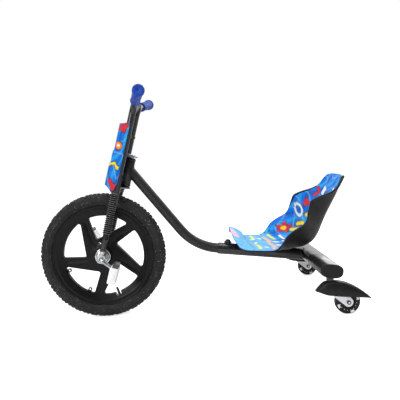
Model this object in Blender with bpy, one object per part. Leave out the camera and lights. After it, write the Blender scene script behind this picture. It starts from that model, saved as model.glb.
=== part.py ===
"""A child's three-wheel pedal scooter.

It has a pedalled front wheel in a raked telescopic fork, a bucket seat low on a two-part beam, and two
swivelling small wheels under the ends of a rear crossbar.

Units are metres and radians. +X runs from the front wheel to the back, +Z is up, and -Y is the rider's left.
The origin is on the ground, under the middle of the scooter's length. Distances named "behind" are measured
from the front axle.
"""

import math

import bmesh
import bpy
from mathutils import Matrix, Vector
from mathutils.geometry import convex_hull_2d

# Clearance between pieces that touch.
GAP = 0.0003
MERGE = 0.000001
SHARP_ANGLE = math.radians(35)
SIDES = (("left", -1), ("right", 1))

# Front wheel, a 16 inch wheel: its tread is 406 mm across.
WHEEL_RADIUS = 0.2032
FRONT_AXLE_X = -0.2939
LUG_HEIGHT = 0.0039
WHEEL_STEPS = 36
TYRE_HALF_WIDTH = 0.0253
TUBE_RING_RADIUS = 0.1745
TUBE_SECTION_RADIUS = 0.0125
RIM_LIP_RADIUS = 0.1628
BEAD_SEAT_RADIUS = 0.1532
WINDOW_RADIUS = 0.1327
WINDOW_TIP_RADIUS = 0.054
WINDOW_TIP_ANGLE = math.radians(181.7)
WINDOW_NEAR_ANGLE = math.radians(-2.4)
WINDOW_FAR_ANGLE = math.radians(-63.7)
WINDOW_CORNER_RADIUS = 0.005
WINDOW_COUNT = 5
HUB_HALF_WIDTH = 0.025
HUB_BORE_RADIUS = 0.0054
HUB_PLATE_RADIUS = 0.0252
TUBE_WALL = 0.0013
WEB_HOLE_RADIUS = 0.004
WEB_HOLE_CIRCLE = 0.0405
WEB_HOLE_ANGLE = math.radians(101.0)
EYELET_CIRCLE = 0.1268
EYELET_RADIUS = 0.0066
EYELET_HOLE_RADIUS = 0.0030
EYELET_ANGLES = (math.radians(-161.5), math.radians(-118.2))
VALVE_ANGLE = math.radians(-75.6)
VALVE_TOP_RADIUS = 0.1155
VALVE_RADIUS = 0.003
VALVE_NOTCH_RADIUS = 0.1425
VALVE_NOTCH_WIDTH = 0.018

# Crank axle, bent from one rod, and the pedals.
ROD_RADIUS = 0.005
CRANK_LENGTH = 0.060
CRANK_ANGLE = math.radians(-43)
CRANK_PLANE = 0.078
SPINDLE_END = 0.158
CRANK_BEND_RADIUS = 0.010
PEDAL_INNER = 0.0885
PEDAL_OUTER = 0.152
PEDAL_LENGTH = 0.050
PEDAL_THICKNESS = 0.025
PEDAL_LEANS = {"left": math.radians(20), "right": math.radians(-21)}
REFLECTOR_LENGTH = 0.0125

# Steering axis and fork, raked back together. Heights here run up the steering axis from axle level.
RAKE = math.radians(18.83)
FORK_OFFSET = 0.018
LEG_HALF_SPACING = 0.0576
LEG_RADIUS = 0.011
LEG_BORE = 0.0094
LEG_BOTTOM = 0.2145
BAR_CORNER = 0.4930
BAR_BEND_RADIUS = 0.036
BAR_DIRECTION = Vector((0.1395, 1.0, 0.2150)).normalized()
GRIP_START = 0.041
GRIP_END = 0.151
GRIP_RADIUS = 0.0145
GRIP_FLANGE_RADIUS = 0.0158
GRIP_CAP_RADIUS = 0.0180
HOLDER_INNER = 0.0496
HOLDER_RADIUS = 0.0155
HOLDER_SEAT_RADIUS = 0.0125
SLIDER_RADIUS = 0.009
SLIDER_BORE = 0.0074
SLIDER_BOTTOM = 0.024
SLIDER_TOP = 0.300
BELLOWS_BOTTOM = 0.062
BELLOWS_TOP = 0.2135
BELLOWS_RIBS = 25
BELLOWS_PITCH = 0.0052
BELLOWS_OUTER = 0.0130
BELLOWS_ROOT = 0.0110
BELLOWS_BORE = 0.0101
SPRING_TURNS = 5
SPRING_BOTTOM = 0.3025
SPRING_TOP = 0.385
SPRING_WIRE = 0.0012
SPRING_RADIUS = 0.0076
LOWER_CROWN_BOTTOM = 0.2300
LOWER_CROWN_TOP = 0.2350
HEAD_BOTTOM = 0.2442
HEAD_TOP = 0.3210
HEAD_RADIUS = 0.0170
HEAD_BORE = 0.0150
UPPER_CROWN_BOTTOM = 0.3335
UPPER_CROWN_TOP = 0.3367
STEERER_RADIUS = 0.011
COLLAR_RADIUS = 0.0143
SHIELD_HALF_WIDTH = 0.075
SHIELD_THICKNESS = 0.0026
SHIELD_DEPTH = 0.0405
SHIELD_RING_RADIUS = 0.0128
SHIELD_RING_HALF_HEIGHT = 0.004
# The shield steps back twice on its way up: (height, share of its full depth).
SHIELD_STEPS = ((0.300, 1.0), (0.304, 0.925), (0.340, 0.925), (0.345, 0.84))
SHIELD_BRACKETS = (("lower", 0.275, SHIELD_DEPTH), ("upper", 0.395, 0.84 * SHIELD_DEPTH))

# Frame: bent main tube, sleeve along the beam, and crossbar.
BEAM_SLOPE = math.radians(10.4)
CROSSBAR_BEHIND = 0.678
CROSSBAR_HEIGHT = 0.1305
BEAM_OFFSET = -0.0014
MAIN_TUBE_RADIUS = 0.016
MAIN_TUBE_BORE = 0.014
MAIN_TUBE_TOP_BEHIND = 0.1135
MAIN_TUBE_TOP_HEIGHT = 0.4728
MAIN_TUBE_CORNER_BEHIND = 0.2999
MAIN_TUBE_BEND_RADIUS = 0.175
SLEEVE_RADIUS = 0.019
SLEEVE_BORE = 0.0167
SLEEVE_START_BEHIND = 0.3745
SLEEVE_END_BEHIND = 0.6530
FRAME_TRAVEL = 0.100
MAIN_TUBE_INSERTION = FRAME_TRAVEL + 0.090
KNOB_BEHIND = 0.405
KNOB_RADIUS = 0.0125
KNOB_HEIGHT = 0.011
KNOB_STUD_RADIUS = 0.0036
CROSSBAR_LEAN = math.radians(11.5)
CROSSBAR_HALF_LENGTH = 0.033
CROSSBAR_HALF_HEIGHT = 0.020
CROSSBAR_HALF_WIDTH = 0.2415
CROSSBAR_WALL = 0.002
CROSSBAR_STEPS = 20

# Casters, placed from the kingpin.
CASTER_Y = 0.230
KINGPIN_BEHIND = 0.6735
CASTER_TRAIL = 0.0445
CASTER_RADIUS = 0.036
CASTER_HALF_WIDTH = 0.0115
KINGPIN_RADIUS = 0.004
HOUSING_RADIUS = 0.0105
HOUSING_BOTTOM = 0.1018
HOUSING_TOP = 0.1440
FORK_PLATE_TOP = 0.0925
FORK_PLATE_BOTTOM = 0.0897
FORK_ARM_INNER = 0.0122
FORK_ARM_OUTER = 0.0145

# Seat: its printed surface runs from the front lip, along the pan and up the back.
# Each row: middle of the seat (behind, up), start of the side wall (behind, up, out), rim (behind, up, out).
SEAT_ROWS = (
    ((0.4178, 0.2527), (0.4210, 0.2235, 0.075), (0.4340, 0.2070, 0.142)),
    ((0.4400, 0.2435), (0.4370, 0.2120, 0.077), (0.4480, 0.2000, 0.148)),
    ((0.4590, 0.2270), (0.4560, 0.2030, 0.080), (0.4660, 0.1960, 0.150)),
    ((0.4720, 0.1970), (0.4830, 0.1950, 0.088), (0.4920, 0.1925, 0.150)),
    ((0.5050, 0.1895), (0.5110, 0.1885, 0.095), (0.5170, 0.1895, 0.150)),
    ((0.5420, 0.1830), (0.5420, 0.1825, 0.100), (0.5400, 0.1900, 0.150)),
    ((0.5820, 0.1775), (0.5780, 0.1785, 0.105), (0.5600, 0.2050, 0.148)),
    ((0.6160, 0.1765), (0.6110, 0.1785, 0.105), (0.5780, 0.2270, 0.145)),
    ((0.6430, 0.1795), (0.6450, 0.1815, 0.102), (0.6040, 0.2430, 0.142)),
    ((0.6630, 0.1890), (0.6700, 0.1920, 0.097), (0.6340, 0.2580, 0.138)),
    ((0.6800, 0.2080), (0.6880, 0.2100, 0.092), (0.6480, 0.2810, 0.131)),
    ((0.6960, 0.2350), (0.7035, 0.2360, 0.088), (0.6560, 0.3050, 0.124)),
    ((0.7130, 0.2640), (0.7200, 0.2650, 0.085), (0.6650, 0.3225, 0.117)),
    ((0.7300, 0.2935), (0.7365, 0.2940, 0.083), (0.6900, 0.3320, 0.112)),
    ((0.7470, 0.3230), (0.7520, 0.3235, 0.080), (0.7270, 0.3400, 0.106)),
    ((0.7640, 0.3525), (0.7660, 0.3530, 0.075), (0.7520, 0.3540, 0.096)),
    ((0.7770, 0.3750), (0.7770, 0.3750, 0.067), (0.7655, 0.3715, 0.088)),
    ((0.7850, 0.3885), (0.7850, 0.3880, 0.055), (0.7755, 0.3835, 0.076)),
)
SEAT_HALF_COLUMNS = 5
LINER_THICKNESS = 0.0012
SHELL_THICKNESS = 0.004
SEAT_RIM_EXTRA = 0.0025
SEAT_BOLTS_BEHIND = (0.497, 0.597)
SEAT_BOLT_OUT = 0.030
SEAT_BOLT_RADIUS = 0.0028
SEAT_PLATE_LENGTH = 0.034
SEAT_PLATE_WIDTH = 0.084
SEAT_PLATE_THICKNESS = 0.0024
SEAT_PLATE_TOP = -0.0064

# Colour, roughness and metallic value of each finish.
FINISHES = {
    "gloss_black": ((0.018, 0.018, 0.020), 0.22, 0.0),
    "matt_black": ((0.022, 0.022, 0.024), 0.55, 0.0),
    "rubber": ((0.028, 0.028, 0.030), 0.75, 0.0),
    "chrome": ((0.75, 0.76, 0.78), 0.12, 1.0),
    "zinc": ((0.66, 0.68, 0.70), 0.35, 1.0),
    "steel": ((0.45, 0.46, 0.48), 0.35, 1.0),
    "grip_blue": ((0.020, 0.060, 0.400), 0.50, 0.0),
    "print_blue": ((0.010, 0.250, 0.800), 0.35, 0.0),
    "pale_plastic": ((0.80, 0.81, 0.83), 0.40, 0.0),
    "dark_grey": ((0.09, 0.09, 0.10), 0.35, 0.0),
}

UPRIGHT = Matrix.Rotation(math.radians(90), 4, "X")


def clear_scene():
    for obj in list(bpy.data.objects):
        bpy.data.objects.remove(obj)


def add_empty(name, parent, location, rotation=(0.0, 0.0, 0.0)):
    empty = bpy.data.objects.new(name, None)
    bpy.context.scene.collection.objects.link(empty)
    empty.parent = parent
    empty.location = location
    empty.rotation_euler = rotation
    return empty


def finish_material(name, finish):
    colour, roughness, metallic = FINISHES[finish]
    made = bpy.data.materials.new(name)
    made.use_nodes = True
    shader = made.node_tree.nodes["Principled BSDF"]
    shader.inputs["Base Color"].default_value = (*colour, 1.0)
    shader.inputs["Roughness"].default_value = roughness
    shader.inputs["Metallic"].default_value = metallic
    return made


def add_solid(name, bm, finish, parent, location=(0.0, 0.0, 0.0), rotation=(0.0, 0.0, 0.0)):
    mesh = bpy.data.meshes.new(name)
    bmesh.ops.recalc_face_normals(bm, faces=bm.faces)
    bm.to_mesh(mesh)
    bm.free()
    mesh.shade_smooth()
    mesh.set_sharp_from_angle(angle=SHARP_ANGLE)
    obj = bpy.data.objects.new(name, mesh)
    bpy.context.scene.collection.objects.link(obj)
    obj.parent = parent
    obj.location = location
    obj.rotation_euler = rotation
    if finish:
        mesh.materials.append(finish_material(name, finish))
    return obj


def combine(target, tool, operation="DIFFERENCE", solver="EXACT"):
    """Cuts the tool's shape out of the target, or fuses it on. The tool stays as a hidden guide."""
    tool.hide_render = True
    tool.display_type = "WIRE"
    modifier = target.modifiers.new(tool.name, "BOOLEAN")
    modifier.operation = operation
    modifier.object = tool
    modifier.solver = solver


def absorb(bm, fresh, matrix):
    """Moves a finished shape into the mesh that is being built."""
    bmesh.ops.transform(fresh, matrix=matrix, verts=fresh.verts)
    bmesh.ops.recalc_face_normals(fresh, faces=fresh.faces)
    carrier = bpy.data.meshes.new("carrier")
    fresh.to_mesh(carrier)
    fresh.free()
    bm.from_mesh(carrier)
    bpy.data.meshes.remove(carrier)


def add_turned(bm, profile, steps, matrix=Matrix(), closed=True):
    """Spins (radius, height) points about Z. An open profile starts and ends on the axis."""
    fresh = bmesh.new()
    verts = [fresh.verts.new((radius, 0.0, height)) for radius, height in profile]
    edges = [fresh.edges.new(pair) for pair in zip(verts, verts[1:])]
    if closed:
        edges.append(fresh.edges.new((verts[-1], verts[0])))
    bmesh.ops.spin(
        fresh, geom=verts + edges, cent=(0, 0, 0), axis=(0, 0, 1), angle=math.tau, steps=steps
    )
    bmesh.ops.remove_doubles(fresh, verts=fresh.verts, dist=MERGE)
    absorb(bm, fresh, matrix)


def add_tube_ring(bm, outer, bore, low, high, steps, matrix=Matrix()):
    add_turned(bm, ((outer, low), (outer, high), (bore, high), (bore, low)), steps, matrix)


def add_rod(bm, radius, low, high, steps, matrix=Matrix()):
    add_turned(bm, ((0.0, low), (radius, low), (radius, high), (0.0, high)), steps, matrix, closed=False)


def add_prism(bm, outline, low, high, matrix=Matrix()):
    """Extrudes a flat outline of (x, y) points from one height to another."""
    fresh = bmesh.new()
    face = fresh.faces.new([fresh.verts.new((x, y, low)) for x, y in outline])
    top = bmesh.ops.extrude_face_region(fresh, geom=[face])["geom"]
    moved = [item for item in top if isinstance(item, bmesh.types.BMVert)]
    bmesh.ops.translate(fresh, verts=moved, vec=(0.0, 0.0, high - low))
    absorb(bm, fresh, matrix)


def add_block(bm, size, matrix=Matrix(), bevel=0.0):
    """A box about its centre, with its edges rounded off when bevel is set."""
    fresh = bmesh.new()
    bmesh.ops.create_cube(fresh, size=1.0, matrix=Matrix.Diagonal((*size, 1.0)))
    if bevel:
        bmesh.ops.bevel(
            fresh, geom=fresh.edges[:], offset=bevel, segments=2, profile=0.5, affect="EDGES"
        )
    absorb(bm, fresh, matrix)


def tube_frames(path):
    """A direction across and a second one, at right angles, carried along the path without twist."""
    tangents = []
    for index in range(len(path)):
        before = path[max(index - 1, 0)]
        after = path[min(index + 1, len(path) - 1)]
        tangents.append((after - before).normalized())
    across = tangents[0].orthogonal().normalized()
    frames = []
    for tangent in tangents:
        across = (across - tangent * across.dot(tangent)).normalized()
        frames.append((across, tangent.cross(across)))
    return frames


def add_swept(bm, path, radius, bore, sides):
    """A round rod along a path, or a pipe where bore isn't zero."""
    fresh = bmesh.new()
    radii = (radius, bore) if bore else (radius,)
    loops = []
    for size in radii:
        rings = []
        for point, (across, other) in zip(path, tube_frames(path)):
            ring = []
            for side in range(sides):
                angle = math.tau * side / sides
                out = math.cos(angle) * across + math.sin(angle) * other
                ring.append(fresh.verts.new(point + size * out))
            rings.append(ring)
        loops.append(rings)
    for rings in loops:
        for first, second in zip(rings, rings[1:]):
            join_rings(fresh, first, second)
    for end in (0, -1):
        if bore:
            join_rings(fresh, loops[0][end], loops[1][end])
        else:
            fresh.faces.new(loops[0][end])
    absorb(bm, fresh, Matrix())


def join_rings(bm, first, second):
    for index in range(len(first)):
        following = (index + 1) % len(first)
        bm.faces.new((first[index], first[following], second[following], second[index]))


def rounded_path(corners, radius, steps):
    """The corner points as a path whose inner corners are arcs of the given radius."""
    path = [corners[0]]
    for before, corner, after in zip(corners, corners[1:], corners[2:]):
        back = (before - corner).normalized()
        ahead = (after - corner).normalized()
        half = back.angle(ahead) / 2
        centre = corner + (back + ahead).normalized() * (radius / math.sin(half))
        start = corner + back * (radius / math.tan(half)) - centre
        end = corner + ahead * (radius / math.tan(half)) - centre
        turn = start.angle(end)
        for step in range(steps + 1):
            part = step / steps
            from_start = math.sin((1 - part) * turn) / math.sin(turn)
            from_end = math.sin(part * turn) / math.sin(turn)
            path.append(centre + start * from_start + end * from_end)
    path.append(corners[-1])
    return path


def circle_points(centre, radius, steps):
    points = []
    for step in range(steps):
        angle = math.tau * step / steps
        points.append((centre[0] + radius * math.cos(angle), centre[1] + radius * math.sin(angle)))
    return points


def wrapped_outline(circles, steps):
    """The taut outline round some circles, each given as (x, y, radius)."""
    points = []
    for x, y, radius in circles:
        points += circle_points((x, y), radius, steps)
    return [points[index] for index in convex_hull_2d(points)]


def superellipse(half_length, half_height, steps):
    """The crossbar's flat-oval section."""
    power = 2.0 / 2.6
    points = []
    for step in range(steps):
        angle = math.tau * step / steps
        x = half_length * math.copysign(abs(math.cos(angle)) ** power, math.cos(angle))
        z = half_height * math.copysign(abs(math.sin(angle)) ** power, math.sin(angle))
        points.append((x, z))
    return points


def mirrored(profile):
    """A closed section from its upper half: the same points again with the height negated."""
    return list(profile) + [(radius, -height) for radius, height in reversed(profile) if height > 0]


def beam_height(behind):
    """Height of the beam's axis at a distance behind the front axle."""
    return CROSSBAR_HEIGHT + BEAM_OFFSET + (CROSSBAR_BEHIND - behind) * math.tan(BEAM_SLOPE)


def build_tyre(parent):
    upper = (
        (0.1997, 0.0),
        (0.1984, 0.0135),
        (0.1925, 0.0225),
        (0.1810, TYRE_HALF_WIDTH),
        (0.1634, 0.0165),
        (0.1630, 0.0131),
        (0.1536, 0.0131),
        (0.1590, 0.0090),
        (0.1800, 0.0215),
        (0.1960, 0.0),
    )
    profile = list(upper) + [(radius, -height) for radius, height in reversed(upper[1:-1])]
    bm = bmesh.new()
    add_turned(bm, profile, WHEEL_STEPS, UPRIGHT)
    raise_tread(bm)
    return add_solid("tyre", bm, "rubber", parent)


def raise_tread(bm):
    """Lifts every other tread face into a block: the crown rows and the shoulder rows take turns."""
    chosen = []
    for face in bm.faces:
        centre = face.calc_center_median()
        radius = math.hypot(centre.x, centre.z)
        across = abs(centre.y)
        if radius < 0.1950 or across < 0.002:
            continue
        if face.normal.dot(Vector((centre.x, 0.0, centre.z))) < 0:
            continue
        step = round(math.atan2(centre.z, centre.x) / math.tau * WHEEL_STEPS - 0.5)
        on_crown = across < 0.010
        lifted = (step + on_crown + (centre.y > 0)) % 2 == 0
        if lifted:
            chosen.append(face)
    made = bmesh.ops.extrude_discrete_faces(bm, faces=chosen)["faces"]
    for face in made:
        centre = face.calc_center_median()
        lift = face.normal * LUG_HEIGHT
        for vert in face.verts:
            vert.co = centre + (vert.co - centre) * 0.82 + lift


def build_rim(parent):
    """The spoked wheel: hub, web and rim turned in one piece, then five raked windows cut through the web."""
    upper = (
        (HUB_BORE_RADIUS, HUB_HALF_WIDTH),
        (0.0250, HUB_HALF_WIDTH),
        (0.0310, 0.0130),
        (0.1280, 0.0085),
        (0.1500, 0.0150),
        (RIM_LIP_RADIUS, 0.0168),
        (RIM_LIP_RADIUS, 0.0135),
        (BEAD_SEAT_RADIUS, 0.0134),
        (BEAD_SEAT_RADIUS, 0.0085),
        (0.1470, 0.0050),
    )
    bm = bmesh.new()
    add_turned(bm, mirrored(upper), WHEEL_STEPS, UPRIGHT)
    rim = add_solid("wheel_rim", bm, "gloss_black", parent)
    combine(rim, build_rim_cutter(parent))
    notch = bmesh.new()
    middle = valve_matrix() @ Matrix.Translation((0.0, 0.0, (VALVE_TOP_RADIUS + VALVE_NOTCH_RADIUS) / 2))
    add_block(notch, (VALVE_NOTCH_WIDTH, 0.060, VALVE_NOTCH_RADIUS - VALVE_TOP_RADIUS), middle)
    combine(rim, add_solid("wheel_rim_notch", notch, None, parent))
    eyelets = bmesh.new()
    holes = bmesh.new()
    for angle in EYELET_ANGLES:
        place = polar_place(angle, EYELET_CIRCLE) @ UPRIGHT
        add_rod(eyelets, EYELET_RADIUS, -0.004, 0.004, 9, place)
        add_rod(holes, EYELET_HOLE_RADIUS, -0.020, 0.020, 5, place)
    combine(rim, add_solid("wheel_rim_eyelets", eyelets, None, parent), "UNION")
    combine(rim, add_solid("wheel_rim_eyelet_holes", holes, None, parent))
    return rim


def polar_place(angle, radius):
    """A move from the wheel's centre to a point in the wheel's plane, angles running from +X up to +Z."""
    return Matrix.Translation((radius * math.cos(angle), 0.0, radius * math.sin(angle)))


def window_outline():
    """One raked window about the wheel's centre, in the first window's place."""
    near = WINDOW_TIP_ANGLE + WINDOW_NEAR_ANGLE
    far = WINDOW_TIP_ANGLE + WINDOW_FAR_ANGLE
    arc_steps = 4
    tip = polar_place(WINDOW_TIP_ANGLE, WINDOW_TIP_RADIUS).translation
    corners = [(tip.x, tip.z)]
    for step in range(arc_steps + 1):
        angle = near + (far - near) * step / arc_steps
        corners.append((WINDOW_RADIUS * math.cos(angle), WINDOW_RADIUS * math.sin(angle)))
    rounded = []
    sharp_ones = (0, 1, arc_steps + 1)
    for index, corner in enumerate(corners):
        if index not in sharp_ones:
            rounded.append(corner)
            continue
        here = Vector((*corner, 0.0))
        before = Vector((*corners[index - 1], 0.0))
        after = Vector((*corners[(index + 1) % len(corners)], 0.0))
        arc = rounded_path([before, here, after], WINDOW_CORNER_RADIUS, 2)[1:-1]
        rounded += [(point.x, point.y) for point in arc]
    return rounded


def build_rim_cutter(parent):
    bm = bmesh.new()
    outline = window_outline()
    for window in range(WINDOW_COUNT):
        turn = Matrix.Rotation(math.tau * window / WINDOW_COUNT, 4, "Z")
        add_prism(bm, outline, -0.030, 0.030, UPRIGHT @ turn)
    add_rod(bm, WEB_HOLE_RADIUS, -0.030, 0.030, 10, polar_place(WEB_HOLE_ANGLE, WEB_HOLE_CIRCLE) @ UPRIGHT)
    valve = valve_matrix()
    add_rod(bm, VALVE_RADIUS + 0.0015, VALVE_TOP_RADIUS, 0.160, 8, valve)
    return add_solid("wheel_rim_cutter", bm, None, parent)


def valve_matrix():
    """Turns +Z to point outwards along the valve."""
    return Matrix.Rotation(math.radians(90) - VALVE_ANGLE, 4, "Y")


def build_inner_tube(parent):
    """A thin-walled tube with its valve, which opens into it."""
    bm = bmesh.new()
    add_turned(bm, circle_points((TUBE_RING_RADIUS, 0.0), TUBE_SECTION_RADIUS, 6), 14, UPRIGHT)
    tube = add_solid("inner_tube", bm, "rubber", parent)
    valve = valve_matrix()
    bm = bmesh.new()
    stem = (
        (0.0, VALVE_TOP_RADIUS),
        (VALVE_RADIUS, VALVE_TOP_RADIUS),
        (VALVE_RADIUS, VALVE_TOP_RADIUS + 0.010),
        (VALVE_RADIUS - 0.0007, VALVE_TOP_RADIUS + 0.0105),
        (VALVE_RADIUS - 0.0007, VALVE_TOP_RADIUS + 0.019),
        (VALVE_RADIUS, VALVE_TOP_RADIUS + 0.021),
        (VALVE_RADIUS, TUBE_RING_RADIUS - TUBE_SECTION_RADIUS + 0.002),
        (0.0, TUBE_RING_RADIUS - TUBE_SECTION_RADIUS + 0.002),
    )
    add_turned(bm, stem, 8, valve, closed=False)
    combine(tube, add_solid("inner_tube_valve", bm, None, parent), "UNION")
    bm = bmesh.new()
    hollow = circle_points((TUBE_RING_RADIUS, 0.0), TUBE_SECTION_RADIUS - TUBE_WALL, 6)
    add_turned(bm, hollow, 14, UPRIGHT)
    combine(tube, add_solid("inner_tube_hollow", bm, None, parent))
    bm = bmesh.new()
    add_rod(bm, 0.0011, VALVE_TOP_RADIUS - 0.010, TUBE_RING_RADIUS, 6, valve)
    combine(tube, add_solid("inner_tube_valve_bore", bm, None, parent))


def build_front_wheel(parent):
    build_tyre(parent)
    build_rim(parent)
    build_inner_tube(parent)
    plate = (
        (HUB_BORE_RADIUS, HUB_HALF_WIDTH + GAP),
        (HUB_PLATE_RADIUS, HUB_HALF_WIDTH + GAP),
        (HUB_PLATE_RADIUS, HUB_HALF_WIDTH + 0.0022),
        (HUB_PLATE_RADIUS - 0.0015, HUB_HALF_WIDTH + 0.0032),
        (0.0080, HUB_HALF_WIDTH + 0.0036),
        (0.0080, HOLDER_INNER - 0.0006),
        (HUB_BORE_RADIUS, HOLDER_INNER - 0.0006),
    )
    for side_name, side in SIDES:
        bm = bmesh.new()
        add_turned(bm, plate, 14, outwards(side))
        add_solid(f"hub_plate_{side_name}", bm, "chrome", parent)
    build_crank(parent)


def outwards(side):
    """Turns +Z to point out towards one side."""
    return Matrix.Diagonal((1.0, -side, 1.0, 1.0)) @ UPRIGHT


def build_crank(parent):
    """One rod bent into two cranks, with a head upset on each end to hold its pedal."""
    bm = bmesh.new()
    add_swept(bm, rounded_path(crank_corners(), CRANK_BEND_RADIUS, 4), ROD_RADIUS, 0.0, 8)
    crank = add_solid("crank_axle", bm, "chrome", parent)
    heads = bmesh.new()
    for side in (-1, 1):
        head = (
            (0.0, SPINDLE_END - 0.0040),
            (0.0080, SPINDLE_END - 0.0040),
            (0.0080, SPINDLE_END - 0.0022),
            (0.0055, SPINDLE_END),
            (0.0, SPINDLE_END),
        )
        add_turned(heads, head, 10, Matrix.Translation(-side * crank_tip()) @ outwards(side), closed=False)
    combine(crank, add_solid("crank_axle_heads", heads, None, parent), "UNION")


def crank_tip():
    """Where the left pedal's spindle stands from the axle. The right one stands opposite."""
    return Vector((CRANK_LENGTH * math.cos(CRANK_ANGLE), 0.0, CRANK_LENGTH * math.sin(CRANK_ANGLE)))


def crank_corners():
    tip = crank_tip()
    across = Vector((0.0, 1.0, 0.0))
    return [
        tip - across * (SPINDLE_END - 0.002),
        tip - across * CRANK_PLANE,
        -across * CRANK_PLANE,
        across * CRANK_PLANE,
        -tip + across * CRANK_PLANE,
        -tip + across * (SPINDLE_END - 0.002),
    ]


def build_pedal(side_name, side, parent):
    """A pedal on its spindle, standing on end, with a reflector block at its upper end."""
    lean = Matrix.Rotation(PEDAL_LEANS[side_name], 4, "Y")
    middle = side * (PEDAL_INNER + PEDAL_OUTER) / 2
    width = PEDAL_OUTER - PEDAL_INNER
    shift = Matrix.Translation((0.0, middle, 0.0))
    bm = bmesh.new()
    add_block(bm, (PEDAL_THICKNESS, width, PEDAL_LENGTH), lean @ shift, bevel=0.003)
    pedal = add_solid(f"pedal_{side_name}", bm, "pale_plastic", parent)
    bore = bmesh.new()
    add_rod(bore, ROD_RADIUS + 0.0004, -0.200, 0.200, 12, UPRIGHT)
    combine(pedal, add_solid(f"pedal_{side_name}_bore", bore, None, parent))

    bm = bmesh.new()
    rise = (PEDAL_LENGTH + REFLECTOR_LENGTH) / 2 + GAP
    block = Matrix.Translation((0.0, middle, rise))
    size = (PEDAL_THICKNESS - 0.003, width - 0.010, REFLECTOR_LENGTH)
    add_block(bm, size, lean @ block, bevel=0.0015)
    add_solid(f"pedal_reflector_{side_name}", bm, "dark_grey", parent)


def build_fork_sliders(parent):
    """The moving lower half of the fork. The parent stands on the steering axis at axle level."""
    for side_name, side in SIDES:
        leg = leg_matrix(side)
        bm = bmesh.new()
        add_tube_ring(bm, SLIDER_RADIUS, SLIDER_BORE, SLIDER_BOTTOM, SLIDER_TOP, 16, leg)
        add_solid(f"slider_{side_name}", bm, "gloss_black", parent)
        build_bearing_holder(side_name, side, parent)

        bm = bmesh.new()
        bearing = leg @ outwards(side)
        add_tube_ring(bm, HOLDER_SEAT_RADIUS - GAP, HUB_BORE_RADIUS, -0.0055, 0.0035, 14, bearing)
        add_solid(f"axle_bearing_{side_name}", bm, "steel", parent)


def leg_matrix(side):
    """A fork leg's axis, from axle level up."""
    return Matrix.Translation((-FORK_OFFSET, side * LEG_HALF_SPACING, 0.0))


def build_bearing_holder(side_name, side, parent):
    """An eye for the axle bearing with a stem that plugs into the slider."""
    leg = leg_matrix(side)
    half_width = LEG_HALF_SPACING - HOLDER_INNER
    bm = bmesh.new()
    add_rod(bm, HOLDER_RADIUS, -half_width, half_width, 16, leg @ UPRIGHT)
    holder = add_solid(f"bearing_holder_{side_name}", bm, "chrome", parent)
    stem = bmesh.new()
    stem_profile = (
        (0.0, 0.004),
        (0.0070, 0.004),
        (0.0086, SLIDER_BOTTOM - 0.006),
        (0.0086, SLIDER_BOTTOM - GAP),
        (SLIDER_BORE - GAP, SLIDER_BOTTOM - GAP),
        (SLIDER_BORE - GAP, SLIDER_BOTTOM + 0.024),
        (0.0, SLIDER_BOTTOM + 0.024),
    )
    add_turned(stem, stem_profile, 12, leg, closed=False)
    combine(holder, add_solid(f"bearing_holder_{side_name}_stem", stem, None, parent), "UNION")
    seat = bmesh.new()
    bore = (
        (0.0, -half_width - 0.001),
        (0.0075, -half_width - 0.001),
        (0.0075, -0.0062),
        (HOLDER_SEAT_RADIUS, -0.0062),
        (HOLDER_SEAT_RADIUS, half_width + 0.001),
        (0.0, half_width + 0.001),
    )
    add_turned(seat, bore, 14, leg @ outwards(side), closed=False)
    combine(holder, add_solid(f"bearing_holder_{side_name}_seat", seat, None, parent))


def build_bellows(side_name, side, parent):
    """A ribbed rubber sleeve over the slider, straight for a short way at each end."""
    ribs_bottom = BELLOWS_TOP - 0.004 - BELLOWS_RIBS * BELLOWS_PITCH
    profile = [(BELLOWS_BORE, BELLOWS_BOTTOM), (BELLOWS_ROOT, BELLOWS_BOTTOM), (BELLOWS_ROOT, ribs_bottom)]
    for rib in range(BELLOWS_RIBS):
        height = ribs_bottom + rib * BELLOWS_PITCH
        profile.append((BELLOWS_OUTER, height + 0.35 * BELLOWS_PITCH))
        profile.append((BELLOWS_ROOT, height + 0.85 * BELLOWS_PITCH))
    profile.append((BELLOWS_OUTER, BELLOWS_TOP - 0.003))
    profile.append((BELLOWS_OUTER, BELLOWS_TOP))
    profile.append((BELLOWS_BORE, BELLOWS_TOP))
    bm = bmesh.new()
    add_turned(bm, profile, 8, leg_matrix(side))
    add_solid(f"fork_bellows_{side_name}", bm, "rubber", parent)


def spring_path(side):
    path = []
    points_per_turn = 6
    count = SPRING_TURNS * points_per_turn
    for index in range(count + 1):
        angle = math.tau * index / points_per_turn
        path.append(
            Vector(
                (
                    -FORK_OFFSET + SPRING_RADIUS * math.cos(angle),
                    side * LEG_HALF_SPACING + SPRING_RADIUS * math.sin(angle),
                    SPRING_BOTTOM + (SPRING_TOP - SPRING_BOTTOM) * index / count,
                )
            )
        )
    return path


def print_least_gap(name, path, radius, skip):
    """The smallest clear distance between stretches of a coil that aren't neighbours."""
    least = min(
        (path[first] - path[second]).length
        for first in range(len(path))
        for second in range(first + skip, len(path))
    )
    print(f"{name}: least gap to itself {1000 * (least - 2 * radius):.2f} mm")


def fork_tube_corners(side):
    foot = Vector((-FORK_OFFSET, side * LEG_HALF_SPACING, LEG_BOTTOM))
    corner = Vector((-FORK_OFFSET, side * LEG_HALF_SPACING, BAR_CORNER))
    direction = bar_direction(side)
    return [foot, corner, corner + direction * (GRIP_END - 0.006)]


def bar_direction(side):
    return Vector((BAR_DIRECTION.x, side * BAR_DIRECTION.y, BAR_DIRECTION.z))


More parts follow.
